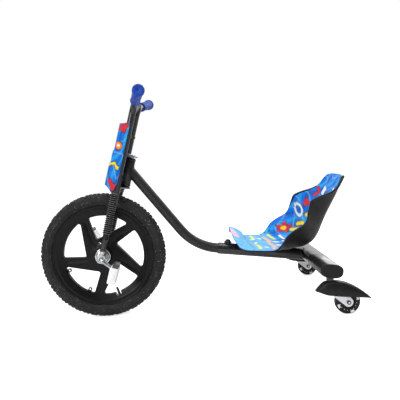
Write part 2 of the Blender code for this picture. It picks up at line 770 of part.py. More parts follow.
def build_grip(side_name, side, parent):
    """A blind rubber grip with a flange at its inner end and a thicker closed outer end."""
    corner = fork_tube_corners(side)[1]
    aim = bar_direction(side).to_track_quat("Z", "Y").to_matrix().to_4x4()
    profile = (
        (LEG_RADIUS + GAP, GRIP_START),
        (GRIP_FLANGE_RADIUS, GRIP_START),
        (GRIP_FLANGE_RADIUS, GRIP_START + 0.004),
        (GRIP_RADIUS, GRIP_START + 0.006),
        (GRIP_RADIUS + 0.0012, GRIP_END - 0.030),
        (GRIP_RADIUS + 0.0016, GRIP_END - 0.014),
        (GRIP_CAP_RADIUS, GRIP_END - 0.011),
        (GRIP_CAP_RADIUS, GRIP_END - 0.002),
        (GRIP_CAP_RADIUS - 0.0015, GRIP_END),
        (0.0, GRIP_END),
        (0.0, GRIP_END - 0.0055),
        (LEG_RADIUS + GAP, GRIP_END - 0.0055),
    )
    bm = bmesh.new()
    add_turned(bm, profile, 14, Matrix.Translation(corner) @ aim)
    add_solid(f"grip_{side_name}", bm, "grip_blue", parent)


def build_crowns(parent):
    """The plates that join the fork tubes to the steerer. The lower has a collar round each tube's foot."""
    lobes = [(-FORK_OFFSET, side * LEG_HALF_SPACING, COLLAR_RADIUS - 0.0010) for side in (-1, 1)]
    plates = (
        ("lower_crown", LOWER_CROWN_BOTTOM, LOWER_CROWN_TOP, 0.0190, "gloss_black"),
        ("upper_crown", UPPER_CROWN_BOTTOM, UPPER_CROWN_TOP, 0.0220, "zinc"),
    )
    for name, low, high, middle_radius, finish in plates:
        bm = bmesh.new()
        add_prism(bm, wrapped_outline(lobes + [(0.0, 0.0, middle_radius)], 14), low, high)
        crown = add_solid(name, bm, finish, parent)
        bores = bmesh.new()
        for side in (-1, 1):
            add_rod(bores, LEG_RADIUS + 2 * GAP, low - 0.050, high + 0.050, 12, leg_matrix(side))
        add_rod(bores, STEERER_RADIUS + GAP, low - 0.010, high + 0.010, 14)
        if name == "lower_crown":
            collars = bmesh.new()
            for side in (-1, 1):
                add_rod(collars, COLLAR_RADIUS, LEG_BOTTOM + 0.0005, high + 0.001, 14, leg_matrix(side))
            combine(crown, add_solid("lower_crown_collars", collars, None, parent), "UNION")
        combine(crown, add_solid(f"{name}_bores", bores, None, parent))


def shield_columns():
    """Across one half of the shield: (ahead of the fork tubes, out, lowest, highest)."""
    return (
        (SHIELD_DEPTH, 0.0, 0.2320, 0.4260),
        (0.0400, 0.028, 0.2320, 0.4262),
        (0.0385, 0.052, 0.2320, 0.4266),
        (0.0350, 0.0675, 0.2320, 0.4272),
        (0.0290, SHIELD_HALF_WIDTH - 0.0012, 0.2300, 0.4280),
        (0.0200, SHIELD_HALF_WIDTH, 0.2225, 0.4300),
        (0.0095, SHIELD_HALF_WIDTH, 0.2160, 0.4330),
        (-0.0015, SHIELD_HALF_WIDTH, 0.2450, 0.4350),
    )


def build_shield(parent):
    """A formed sheet in front of the fork tubes, with flanks that wrap round their outer sides."""
    half = shield_columns()
    columns = [(ahead, -y, low, high) for ahead, y, low, high in reversed(half[1:])] + list(half)
    bm = bmesh.new()
    grid = []
    for ahead, y, low, high in columns:
        levels = [(low, SHIELD_STEPS[0][1]), *SHIELD_STEPS, (high, SHIELD_STEPS[-1][1])]
        grid.append([bm.verts.new((-FORK_OFFSET - ahead * share, y, height)) for height, share in levels])
    for first, second in zip(grid, grid[1:]):
        for index in range(len(first) - 1):
            bm.faces.new((first[index], first[index + 1], second[index + 1], second[index]))
    shield = add_solid("front_shield", bm, "print_blue", parent)
    solid = shield.modifiers.new("sheet", "SOLIDIFY")
    solid.thickness = SHIELD_THICKNESS
    solid.offset = -1.0 if shield_faces_out(shield) else 1.0
    solid.use_even_offset = True

    holes = bmesh.new()
    for _, height, _ in SHIELD_BRACKETS:
        add_rod(holes, 0.0024, 0.020, 0.060, 8, forward_of_legs(height))
    combine(shield, add_solid("front_shield_holes", holes, None, parent))
    for place, height, depth in SHIELD_BRACKETS:
        build_shield_bracket(place, height, depth, parent)


def forward_of_legs(height):
    """Turns +Z to point forwards, from midway between the fork tubes."""
    return Matrix.Translation((-FORK_OFFSET, 0.0, height)) @ Matrix.Rotation(math.radians(-90), 4, "Y")


def build_shield_bracket(place, height, depth, parent):
    """A bent bar with a ring round each fork tube, and the screw that holds the shield to it."""
    half_height = 0.006
    half = ((0.0, 0.0560), (0.0053 - depth, 0.0500), (0.0039 - depth, 0.0300), (0.0030 - depth, 0.0100))
    inner = ((0.0070 - depth, -0.0450), (0.0, -0.0485))
    outline = list(half) + [(x, -y) for x, y in reversed(half)]
    outline += [(x, y) for x, y in reversed(inner)] + [(x, -y) for x, y in inner]
    legs = Matrix.Translation((-FORK_OFFSET, 0.0, height))
    bm = bmesh.new()
    add_prism(bm, outline, -half_height, half_height, legs)
    bracket = add_solid(f"shield_bracket_{place}", bm, "gloss_black", parent)
    rings = bmesh.new()
    bores = bmesh.new()
    for side in (-1, 1):
        leg = leg_matrix(side) @ Matrix.Translation((0.0, 0.0, height))
        add_rod(rings, SHIELD_RING_RADIUS, -SHIELD_RING_HALF_HEIGHT, SHIELD_RING_HALF_HEIGHT, 12, leg)
        add_rod(bores, LEG_RADIUS + 2 * GAP, -0.020, 0.020, 12, leg)
    add_rod(bores, 0.0024, 0.010, 0.060, 6, forward_of_legs(height))
    combine(bracket, add_solid(f"shield_bracket_{place}_rings", rings, None, parent), "UNION")
    combine(bracket, add_solid(f"shield_bracket_{place}_bores", bores, None, parent))

    screw = (
        (0.0, depth - 0.0090),
        (0.0021, depth - 0.0090),
        (0.0021, depth + 0.0004),
        (0.0050, depth + 0.0004),
        (0.0040, depth + 0.0025),
        (0.0, depth + 0.0031),
    )
    bm = bmesh.new()
    add_turned(bm, screw, 6, forward_of_legs(height), closed=False)
    add_solid(f"shield_screw_{place}", bm, "steel", parent)


def shield_faces_out(shield):
    """Whether the sheet's faces point away from the steering axis."""
    face = max(shield.data.polygons, key=lambda polygon: -polygon.center.x)
    return face.normal.x < 0


def build_steering(parent):
    """Everything that turns with the handlebar. The parent stands on the steering axis at axle level."""
    bm = bmesh.new()
    add_rod(bm, STEERER_RADIUS, LOWER_CROWN_BOTTOM - 0.002, UPPER_CROWN_TOP + 0.0024, 16)
    add_solid("steerer", bm, "steel", parent)

    bm = bmesh.new()
    nut = (
        (STEERER_RADIUS + GAP, UPPER_CROWN_TOP + GAP),
        (0.0130, UPPER_CROWN_TOP + GAP),
        (0.0130, UPPER_CROWN_TOP + 0.0030),
        (0.0105, UPPER_CROWN_TOP + 0.0042),
        (0.0, UPPER_CROWN_TOP + 0.0042),
        (0.0, UPPER_CROWN_TOP + 0.0027),
        (STEERER_RADIUS + GAP, UPPER_CROWN_TOP + 0.0027),
    )
    add_turned(bm, nut, 16)
    add_solid("steerer_nut", bm, "steel", parent)

    build_crowns(parent)
    build_shield(parent)
    for side_name, side in SIDES:
        bm = bmesh.new()
        path = rounded_path(fork_tube_corners(side), BAR_BEND_RADIUS, 5)
        add_swept(bm, path, LEG_RADIUS, LEG_BORE, 12)
        tube = add_solid(f"fork_tube_{side_name}", bm, "gloss_black", parent)
        stop = bmesh.new()
        add_rod(stop, LEG_BORE + 0.0006, SPRING_TOP + 0.0015, SPRING_TOP + 0.0045, 12, leg_matrix(side))
        combine(tube, add_solid(f"fork_tube_{side_name}_stop", stop, None, parent), "UNION")
        build_grip(side_name, side, parent)
        build_bellows(side_name, side, parent)
        path = spring_path(side)
        bm = bmesh.new()
        add_swept(bm, path, SPRING_WIRE, 0.0, 4)
        add_solid(f"fork_spring_{side_name}", bm, "steel", parent)
        print_least_gap(f"fork_spring_{side_name}", path, SPRING_WIRE, 5)


def build_head(parent):
    """Head tube with its flanged bushes. The parent stands on the steering axis at axle level."""
    bm = bmesh.new()
    add_tube_ring(bm, HEAD_RADIUS, HEAD_BORE, HEAD_BOTTOM, HEAD_TOP, 18)
    add_solid("head_tube", bm, "gloss_black", parent)

    bore = STEERER_RADIUS + 0.0006
    bush = (
        (bore, -0.010),
        (HEAD_BORE - GAP, -0.010),
        (HEAD_BORE - GAP, GAP),
        (0.0182, GAP),
        (0.0182, 0.0048),
        (0.0165, 0.0056),
        (0.0165, 0.0087),
        (bore, 0.0087),
    )
    for place, end, away in (("lower", HEAD_BOTTOM, -1), ("upper", HEAD_TOP, 1)):
        outwards_from_end = Matrix.Translation((0.0, 0.0, end)) @ Matrix.Diagonal((1.0, 1.0, away, 1.0))
        bm = bmesh.new()
        add_turned(bm, bush, 12, outwards_from_end)
        add_solid(f"headset_bush_{place}", bm, "gloss_black", parent)


def build_main_tube(parent, steering_axis):
    """The bent tube from the head tube down to the beam and on into the sleeve."""
    corner_behind = MAIN_TUBE_CORNER_BEHIND
    corner = Vector((corner_behind, 0.0, beam_height(corner_behind)))
    along = Vector((math.cos(BEAM_SLOPE), 0.0, -math.sin(BEAM_SLOPE)))
    sleeve_start = Vector((SLEEVE_START_BEHIND, 0.0, beam_height(SLEEVE_START_BEHIND)))
    corners = [
        Vector((MAIN_TUBE_TOP_BEHIND, 0.0, MAIN_TUBE_TOP_HEIGHT)),
        corner,
        sleeve_start + along * MAIN_TUBE_INSERTION,
    ]
    bm = bmesh.new()
    add_swept(bm, rounded_path(corners, MAIN_TUBE_BEND_RADIUS, 5), MAIN_TUBE_RADIUS, MAIN_TUBE_BORE, 14)
    tube = add_solid("main_tube", bm, "gloss_black", parent)
    cope = bmesh.new()
    add_rod(cope, HEAD_RADIUS + GAP, HEAD_BOTTOM - 0.050, HEAD_TOP + 0.050, 16)
    combine(tube, add_solid("main_tube_cope", cope, None, steering_axis))


def beam_matrix(behind):
    """+Z along the beam towards the back, at a place on the beam's axis."""
    place = Matrix.Translation((behind, 0.0, beam_height(behind)))
    return place @ Matrix.Rotation(math.radians(90) + BEAM_SLOPE, 4, "Y")


def build_sleeve(parent):
    """The beam's rear tube, with the two saddles that carry the seat welded on top."""
    length = (SLEEVE_END_BEHIND - SLEEVE_START_BEHIND) / math.cos(BEAM_SLOPE)
    start = beam_matrix(SLEEVE_START_BEHIND)
    bm = bmesh.new()
    add_rod(bm, SLEEVE_RADIUS, 0.0, length, 16, start)
    sleeve = add_solid("rear_sleeve", bm, "gloss_black", parent)

    plates = bmesh.new()
    blocks = bmesh.new()
    threads = bmesh.new()
    for behind in SEAT_BOLTS_BEHIND:
        rise = seat_height(behind) - beam_height(behind)
        upright = seat_matrix(behind)
        size = (SEAT_PLATE_LENGTH, SEAT_PLATE_WIDTH, SEAT_PLATE_THICKNESS)
        middle = SEAT_PLATE_TOP - SEAT_PLATE_THICKNESS / 2
        add_block(plates, size, upright @ Matrix.Translation((0.0, 0.0, middle)))
        size = (SEAT_PLATE_LENGTH - 0.006, 0.030, rise)
        add_block(blocks, size, upright @ Matrix.Translation((0.0, 0.0, middle - rise / 2)))
        for side in (-1, 1):
            spot = Matrix.Translation((0.0, side * SEAT_BOLT_OUT, 0.0))
            add_rod(threads, SEAT_BOLT_RADIUS + GAP, -0.030, 0.010, 8, upright @ spot)
    combine(sleeve, add_solid("rear_sleeve_saddles", blocks, None, parent), "UNION")
    combine(sleeve, add_solid("rear_sleeve_plates", plates, None, parent), "UNION")
    combine(sleeve, add_solid("rear_sleeve_threads", threads, None, parent))

    bm = bmesh.new()
    add_rod(bm, SLEEVE_BORE, -0.010, length + 0.010, 16, start)
    combine(sleeve, add_solid("rear_sleeve_bore", bm, None, parent))
    bm = bmesh.new()
    outline = superellipse(CROSSBAR_HALF_LENGTH + GAP, CROSSBAR_HALF_HEIGHT + GAP, CROSSBAR_STEPS)
    add_prism(bm, outline, -0.100, 0.100, crossbar_matrix() @ UPRIGHT)
    combine(sleeve, add_solid("rear_sleeve_cope", bm, None, parent), solver="MANIFOLD")
    bm = bmesh.new()
    add_rod(bm, KNOB_STUD_RADIUS + 2 * GAP, 0.0, 0.030, 12, knob_matrix())
    combine(sleeve, add_solid("rear_sleeve_knob_hole", bm, None, parent))


def crossbar_matrix():
    """The crossbar's middle, leaning down towards the back."""
    middle = Matrix.Translation((CROSSBAR_BEHIND, 0.0, CROSSBAR_HEIGHT))
    return middle @ Matrix.Rotation(CROSSBAR_LEAN, 4, "Y")


def build_crossbar(parent):
    """The flat-oval rear tube, with an upright tube welded in near each end for the casters' kingpins."""
    outer = superellipse(CROSSBAR_HALF_LENGTH, CROSSBAR_HALF_HEIGHT, CROSSBAR_STEPS)
    wall = CROSSBAR_WALL
    inner = superellipse(CROSSBAR_HALF_LENGTH - wall, CROSSBAR_HALF_HEIGHT - wall, CROSSBAR_STEPS)
    lying = crossbar_matrix() @ UPRIGHT
    bm = bmesh.new()
    add_prism(bm, outer, -CROSSBAR_HALF_WIDTH, CROSSBAR_HALF_WIDTH, lying)
    crossbar = add_solid("crossbar", bm, "gloss_black", parent)
    hollow = bmesh.new()
    add_prism(hollow, inner, -CROSSBAR_HALF_WIDTH - 0.010, CROSSBAR_HALF_WIDTH + 0.010, lying)
    combine(crossbar, add_solid("crossbar_hollow", hollow, None, parent))
    housings = bmesh.new()
    bores = bmesh.new()
    for side in (-1, 1):
        kingpin = Matrix.Translation((KINGPIN_BEHIND, side * CASTER_Y, 0.0))
        add_rod(housings, HOUSING_RADIUS, HOUSING_BOTTOM, HOUSING_TOP, 16, kingpin)
        add_rod(bores, KINGPIN_RADIUS + 0.0004, HOUSING_BOTTOM - 0.010, HOUSING_TOP + 0.003, 12, kingpin)
    combine(crossbar, add_solid("crossbar_housings", housings, None, parent), "UNION")
    combine(crossbar, add_solid("crossbar_bores", bores, None, parent))

    plug = superellipse(CROSSBAR_HALF_LENGTH - wall - GAP, CROSSBAR_HALF_HEIGHT - wall - GAP, CROSSBAR_STEPS)
    face = superellipse(CROSSBAR_HALF_LENGTH - 0.0012, CROSSBAR_HALF_HEIGHT - 0.0012, CROSSBAR_STEPS)
    for side_name, side in SIDES:
        caps = bmesh.new()
        flip = crossbar_matrix() @ outwards(side)
        add_cap(caps, plug, outer, face, flip)
        add_solid(f"crossbar_cap_{side_name}", caps, "matt_black", parent)


def add_cap(bm, plug, outer, face, matrix):
    """A plug with a slightly domed face, as a stack of like outlines. It stays short of the housing."""
    levels = (
        (plug, CROSSBAR_HALF_WIDTH - 0.0005),
        (plug, CROSSBAR_HALF_WIDTH + GAP),
        (outer, CROSSBAR_HALF_WIDTH + GAP),
        (outer, CROSSBAR_HALF_WIDTH + 0.0022),
        (face, CROSSBAR_HALF_WIDTH + 0.0036),
    )
    fresh = bmesh.new()
    rings = [[fresh.verts.new((x, y, height)) for x, y in outline] for outline, height in levels]
    for first, second in zip(rings, rings[1:]):
        join_rings(fresh, first, second)
    fresh.faces.new(rings[0])
    fresh.faces.new(rings[-1])
    absorb(bm, fresh, matrix)


def knob_matrix():
    """+Z up and square to the beam, at the beam's axis under the knob."""
    foot = Matrix.Translation((KNOB_BEHIND, 0.0, beam_height(KNOB_BEHIND)))
    return foot @ Matrix.Rotation(BEAM_SLOPE, 4, "Y")


def build_knob(parent):
    """A lobed hand knob on a stud that bears on the main tube. The parent sits on the sleeve's axis."""
    lobes = 6
    outline = []
    steps = 18
    for step in range(steps):
        angle = math.tau * step / steps
        radius = KNOB_RADIUS - 0.0016 * (1 - math.cos(lobes * angle)) / 2
        outline.append((radius * math.cos(angle), radius * math.sin(angle)))
    bottom = SLEEVE_RADIUS + 0.0012
    fresh = bmesh.new()
    levels = (
        (0.36, bottom),
        (0.36, bottom + 0.0015),
        (0.94, bottom + 0.0018),
        (1.0, bottom + 0.0035),
        (1.0, bottom + KNOB_HEIGHT - 0.002),
        (0.88, bottom + KNOB_HEIGHT),
    )
    rings = []
    for scale, height in levels:
        rings.append([fresh.verts.new((x * scale, y * scale, height)) for x, y in outline])
    for first, second in zip(rings, rings[1:]):
        join_rings(fresh, first, second)
    fresh.faces.new(rings[0])
    fresh.faces.new(rings[-1])
    bm = bmesh.new()
    absorb(bm, fresh, Matrix())
    knob = add_solid("lock_knob", bm, "matt_black", parent)
    stud = bmesh.new()
    add_rod(stud, KNOB_STUD_RADIUS, MAIN_TUBE_RADIUS + GAP, bottom + 0.004, 8)
    combine(knob, add_solid("lock_knob_stud", stud, None, parent), "UNION")


def seat_rows():
    """Each row's middle, foot of the side wall and rim as points."""
    rows = []
    for (x, z), (foot_x, foot_z, foot_y), (rim_x, rim_z, rim_y) in SEAT_ROWS:
        rows.append((Vector((x, 0.0, z)), Vector((foot_x, foot_y, foot_z)), Vector((rim_x, rim_y, rim_z))))
    return rows


def seat_point(row, part):
    """A point across half of the seat: a curve from the middle to the rim that hugs the side wall's foot."""
    middle, foot, rim = row
    rest = 1 - part
    return middle * rest**3 + foot * (3 * rest**2 * part + 3 * rest * part**2) + rim * part**3


def seat_grid(extended):
    """Rows of points over the seat. The extended grid has one more ring of points just past the rim."""
    grid = []
    for row in seat_rows():
        right = [seat_point(row, step / SEAT_HALF_COLUMNS) for step in range(SEAT_HALF_COLUMNS + 1)]
        if extended:
            right.append(right[-1] + (right[-1] - right[-2]).normalized() * SEAT_RIM_EXTRA)
        left = [Vector((point.x, -point.y, point.z)) for point in reversed(right[1:])]
        grid.append(left + right)
    if extended:
        grid.insert(0, beyond(grid[0], grid[1]))
        grid.append(beyond(grid[-1], grid[-2]))
    return grid


def beyond(end_row, inner_row):
    """The row of points that comes just past the end row."""
    return [end + (end - inner).normalized() * SEAT_RIM_EXTRA for end, inner in zip(end_row, inner_row)]


def build_seat_sheet(name, finish, parent, extended, thickness, start):
    """A sheet of the seat between two depths below the printed surface."""
    bm = bmesh.new()
    grid = [[bm.verts.new(point) for point in row] for row in seat_grid(extended)]
    for first, second in zip(grid, grid[1:]):
        for index in range(len(first) - 1):
            bm.faces.new((first[index], second[index], second[index + 1], first[index + 1]))
    sheet = add_solid(name, bm, finish, parent)
    solid = sheet.modifiers.new("sheet", "SOLIDIFY")
    solid.thickness = thickness
    depth = 1.0 + 2.0 * start / thickness
    solid.offset = -depth if seat_faces_up(sheet) else depth
    solid.use_even_offset = False
    return sheet


def seat_faces_up(sheet):
    """Whether the faces of the pan point up, at the seat."""
    lowest = min(sheet.data.polygons, key=lambda polygon: polygon.center.z)
    return lowest.normal.z > 0


def seat_height(behind):
    """Height of the middle of the printed surface at a place in the pan."""
    middles = [row[0] for row in seat_rows()]
    for first, second in zip(middles, middles[1:]):
        if second.x > behind:
            break
    return first.z + (second.z - first.z) * (behind - first.x) / (second.x - first.x)


def seat_matrix(behind):
    """+Z square to the pan, at the middle of its printed surface."""
    half = SEAT_PLATE_LENGTH / 2
    fall = seat_height(behind - half) - seat_height(behind + half)
    slope = math.atan2(fall, SEAT_PLATE_LENGTH)
    return Matrix.Translation((behind, 0.0, seat_height(behind))) @ Matrix.Rotation(slope, 4, "Y")


def build_seat(parent):
    liner = build_seat_sheet("seat_liner", "print_blue", parent, False, LINER_THICKNESS, 0.0)
    shell_start = LINER_THICKNESS + GAP
    shell = build_seat_sheet("seat_shell", "matt_black", parent, True, SHELL_THICKNESS, shell_start)
    holes = bmesh.new()
    bolt = (
        (0.0, SEAT_PLATE_TOP - 0.0060),
        (SEAT_BOLT_RADIUS, SEAT_PLATE_TOP - 0.0060),
        (SEAT_BOLT_RADIUS, 0.0010),
        (0.0065, 0.0010),
        (0.0055, 0.0030),
        (0.0, 0.0038),
    )
    for place, behind in zip(("front", "rear"), SEAT_BOLTS_BEHIND):
        for side_name, side in SIDES:
            spot = seat_matrix(behind) @ Matrix.Translation((0.0, side * SEAT_BOLT_OUT, 0.0))
            add_rod(holes, SEAT_BOLT_RADIUS + 0.0005, -0.020, 0.020, 8, spot)
            bm = bmesh.new()
            add_turned(bm, bolt, 6, spot, closed=False)
            add_solid(f"seat_bolt_{place}_{side_name}", bm, "steel", parent)
    hole_tool = add_solid("seat_holes", holes, None, parent)
    combine(liner, hole_tool)
    combine(shell, hole_tool)


def build_caster(side_name, parent):
    """Fork, fender and kingpin of one caster. The parent stands on the kingpin's axis at ground level."""
    bm = bmesh.new()
    axle = (CASTER_TRAIL, CASTER_RADIUS)
    rounding = circle_points(axle, 0.0135, 16)
    shoulders = [(-0.0150, 0.0740), (-0.0150, 0.0860), (-0.0100, FORK_PLATE_TOP), (0.0180, FORK_PLATE_TOP)]
    points = rounding + shoulders
    outline = [points[index] for index in convex_hull_2d(points)]
    for side in (-1, 1):
        add_prism(bm, outline, FORK_ARM_INNER, FORK_ARM_OUTER, outwards(side))
    fork = add_solid(f"caster_fork_{side_name}", bm, "zinc", parent)
    bridge = bmesh.new()
    add_block(
        bridge,
        (0.026, 2 * FORK_ARM_INNER + 0.002, FORK_PLATE_TOP - FORK_PLATE_BOTTOM - 0.0002),
        Matrix.Translation((0.004, 0.0, (FORK_PLATE_TOP + FORK_PLATE_BOTTOM) / 2)),
    )
    combine(fork, add_solid(f"caster_fork_{side_name}_bridge", bridge, None, parent), "UNION")
    holes = bmesh.new()
    add_rod(holes, KINGPIN_RADIUS + GAP, 0.085, 0.110, 10)
    add_rod(holes, 0.0034, -0.030, 0.030, 10, Matrix.Translation((axle[0], 0.0, axle[1])) @ UPRIGHT)
    combine(fork, add_solid(f"caster_fork_{side_name}_holes", holes, None, parent))

    bm = bmesh.new()
    kingpin = (
        (0.0, FORK_PLATE_BOTTOM - 0.0060),
        (0.0070, FORK_PLATE_BOTTOM - 0.0060),
        (0.0070, FORK_PLATE_BOTTOM - GAP),
        (KINGPIN_RADIUS, FORK_PLATE_BOTTOM - GAP),
        (KINGPIN_RADIUS, HOUSING_TOP + 0.001),
        (0.0, HOUSING_TOP + 0.001),
    )
    add_turned(bm, kingpin, 10, closed=False)
    add_solid(f"kingpin_{side_name}", bm, "steel", parent)

    build_fender(side_name, parent)

    bm = bmesh.new()
    bolt = (
        (0.0, -0.0205),
        (0.0050, -0.0205),
        (0.0072, -0.0190),
        (0.0072, -FORK_ARM_OUTER - GAP),
        (0.0031, -FORK_ARM_OUTER - GAP),
        (0.0031, FORK_ARM_OUTER + GAP),
        (0.0072, FORK_ARM_OUTER + GAP),
        (0.0072, 0.0190),
        (0.0050, 0.0205),
        (0.0, 0.0205),
    )
    add_turned(bm, bolt, 8, Matrix.Translation((axle[0], 0.0, axle[1])) @ UPRIGHT, closed=False)
    add_solid(f"caster_bolt_{side_name}", bm, "steel", parent)


# Fender, from front tip to rear tip: (back from the kingpin, crest height, edge height, half width).
FENDER_ROWS = (
    (-0.0445, 0.0770, 0.0750, 0.0050),
    (-0.0355, 0.0850, 0.0725, 0.0125),
    (-0.0235, 0.0950, 0.0675, 0.0175),
    (-0.0110, 0.1003, 0.0635, 0.0205),
    (0.0140, 0.1000, 0.0590, 0.0220),
    (0.0380, 0.0945, 0.0550, 0.0225),
    (0.0620, 0.0830, 0.0510, 0.0216),
    (0.0835, 0.0680, 0.0472, 0.0190),
    (0.1010, 0.0530, 0.0430, 0.0145),
    (0.1135, 0.0395, 0.0380, 0.0070),
)


def build_fender(side_name, parent):
    half_columns = 3
    bm = bmesh.new()
    grid = []
    for back, crest, edge, half_width in FENDER_ROWS:
        row = []
        for column in range(-half_columns, half_columns + 1):
            angle = column / half_columns * math.pi / 2
            out = half_width * math.copysign(abs(math.sin(angle)) ** 0.5, angle)
            up = edge + (crest - edge) * max(math.cos(angle), 0.0) ** 0.5
            row.append(bm.verts.new((back, out, up)))
        grid.append(row)
    for first, second in zip(grid, grid[1:]):
        for index in range(len(first) - 1):
            bm.faces.new((first[index], first[index + 1], second[index + 1], second[index]))
    fender = add_solid(f"caster_fender_{side_name}", bm, "matt_black", parent)
    solid = fender.modifiers.new("shell", "SOLIDIFY")
    solid.thickness = 0.0022
    highest = max(fender.data.polygons, key=lambda polygon: polygon.center.z)
    solid.offset = -1.0 if highest.normal.z > 0 else 1.0
    hole = bmesh.new()
    add_rod(hole, KINGPIN_RADIUS + GAP, 0.085, 0.110, 16)
    combine(fender, add_solid(f"caster_fender_{side_name}_hole", hole, None, parent))


def build_caster_wheel(side_name, parent):
    """The small wheel. The parent sits on its axle."""
    bm = bmesh.new()
    half = CASTER_HALF_WIDTH
    tyre = (
        (0.0215, half),
        (0.0300, half),
        (0.0345, half - 0.0018),
        (CASTER_RADIUS, half - 0.0050),
    )
    add_turned(bm, mirrored(tyre), 20, UPRIGHT)
    add_solid(f"caster_tyre_{side_name}", bm, "rubber", parent)

    bm = bmesh.new()
    core = (
        (0.0034, half),
        (0.0110, half),
        (0.0125, half - 0.0015),
        (0.0212, half - 0.0015),
    )
    add_turned(bm, mirrored(core), 12, UPRIGHT)
    add_solid(f"caster_hub_{side_name}", bm, "matt_black", parent)


def main():
    clear_scene()
    scooter = add_empty("scooter", None, (FRONT_AXLE_X, 0.0, 0.0))
    steering_foot = (FORK_OFFSET * math.cos(RAKE), 0.0, WHEEL_RADIUS - FORK_OFFSET * math.sin(RAKE))

    rear_frame = add_empty("rear_frame", scooter, (0.0, 0.0, 0.0))
    build_sleeve(rear_frame)
    build_crossbar(rear_frame)
    build_seat(rear_frame)

    knob_place = knob_matrix()
    knob = add_empty("knob_axis", scooter, knob_place.translation, knob_place.to_euler())
    build_knob(knob)

    front_frame = add_empty("front_frame", scooter, (0.0, 0.0, 0.0))
    head_axis = add_empty("head_axis", front_frame, steering_foot, (0.0, RAKE, 0.0))
    build_head(head_axis)
    build_main_tube(front_frame, head_axis)

    steering_axis = add_empty("steering_axis", scooter, steering_foot, (0.0, RAKE, 0.0))
    build_steering(steering_axis)
    slider_axis = add_empty("slider_axis", steering_axis, (0.0, 0.0, 0.0))
    build_fork_sliders(slider_axis)

    axle = add_empty("front_axle", scooter, (0.0, 0.0, WHEEL_RADIUS))
    build_front_wheel(axle)
    for side_name, side in SIDES:
        pedal = add_empty(f"pedal_axis_{side_name}", axle, -side * crank_tip())
        build_pedal(side_name, side, pedal)
        caster = add_empty(f"caster_axis_{side_name}", scooter, (KINGPIN_BEHIND, side * CASTER_Y, 0.0))
        build_caster(side_name, caster)
        caster_axle = add_empty(f"caster_axle_{side_name}", caster, (CASTER_TRAIL, 0.0, CASTER_RADIUS))
        build_caster_wheel(side_name, caster_axle)


main()
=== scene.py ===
import math

import bmesh
import bpy
import numpy as np
from mathutils import Matrix, Vector
from mathutils.geometry import convex_hull_2d


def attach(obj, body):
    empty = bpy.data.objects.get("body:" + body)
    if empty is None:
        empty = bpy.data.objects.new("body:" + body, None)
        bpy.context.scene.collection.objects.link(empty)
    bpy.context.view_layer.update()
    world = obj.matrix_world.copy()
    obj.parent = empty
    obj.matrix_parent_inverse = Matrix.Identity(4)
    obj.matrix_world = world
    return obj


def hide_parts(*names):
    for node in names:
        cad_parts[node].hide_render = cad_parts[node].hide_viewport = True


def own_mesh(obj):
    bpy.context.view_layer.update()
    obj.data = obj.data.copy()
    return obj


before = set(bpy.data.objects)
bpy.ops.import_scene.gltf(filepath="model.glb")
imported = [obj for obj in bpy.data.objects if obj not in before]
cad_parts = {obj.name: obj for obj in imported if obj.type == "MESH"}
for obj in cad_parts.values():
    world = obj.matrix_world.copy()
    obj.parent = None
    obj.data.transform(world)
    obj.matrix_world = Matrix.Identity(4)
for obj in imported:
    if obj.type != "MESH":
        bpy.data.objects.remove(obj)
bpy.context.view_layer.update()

UP = Vector((0.0, 0.0, 1.0))

# Metres: +X to the back, the left side at -Y, ground at 0. Angles in the wheel's plane run from +X to +Z.
SIDES = (("left", -1), ("right", 1))
AXLE_X = -0.2939
WHEEL_RADIUS = 0.2032
RAKE = math.radians(18.83)
FORK_OFFSET = 0.018
LEG_HALF_SPACING = 0.0576
UPRIGHT = Matrix.Rotation(math.radians(90), 4, "X")
GROUND = Matrix.Translation((AXLE_X, 0.0, 0.0))
WHEEL = Matrix.Translation((AXLE_X, 0.0, WHEEL_RADIUS))
STEERING_FOOT = (AXLE_X + FORK_OFFSET * math.cos(RAKE), 0.0, WHEEL_RADIUS - FORK_OFFSET * math.sin(RAKE))
STEERING = Matrix.Translation(STEERING_FOOT) @ Matrix.Rotation(RAKE, 4, "Y")
STEERING_AXIS = STEERING.to_3x3() @ UP


OVAL_POWER = 2.6


# ---------------------------------------------------------------- shapes

def move(bm, matrix):
    bmesh.ops.transform(bm, matrix=matrix, verts=bm.verts)


def absorb(bm, fresh, matrix=Matrix()):
    """Moves a finished shape into the mesh that is being built."""
    move(fresh, matrix)
    bmesh.ops.recalc_face_normals(fresh, faces=fresh.faces)
    carrier = bpy.data.meshes.new("carrier")
    fresh.to_mesh(carrier)
    fresh.free()
    bm.from_mesh(carrier)
    bpy.data.meshes.remove(carrier)


def join_rings(bm, first, second):
    for index in range(len(first)):
        following = (index + 1) % len(first)
        bm.faces.new((first[index], first[following], second[following], second[index]))


def add_turned(bm, profile, matrix=Matrix(), steps=64):
    """Spins (radius, height) points about Z. A profile that starts on the axis also ends there."""
    fresh = bmesh.new()
    verts = [fresh.verts.new((radius, 0.0, height)) for radius, height in profile]
    edges = [fresh.edges.new(pair) for pair in zip(verts, verts[1:])]
    if profile[0][0] > 0:
        edges.append(fresh.edges.new((verts[-1], verts[0])))
    bmesh.ops.spin(fresh, geom=verts + edges, cent=(0, 0, 0), axis=(0, 0, 1), angle=math.tau, steps=steps)
    bmesh.ops.remove_doubles(fresh, verts=fresh.verts, dist=1e-6)
    absorb(bm, fresh, matrix)


def turned(profile, matrix=Matrix(), steps=64):
    bm = bmesh.new()
    add_turned(bm, profile, matrix, steps)
    return bm


def rod(radius, low, high):
    """The profile of a plain rod."""
    return (0, low), (radius, low), (radius, high), (0, high)


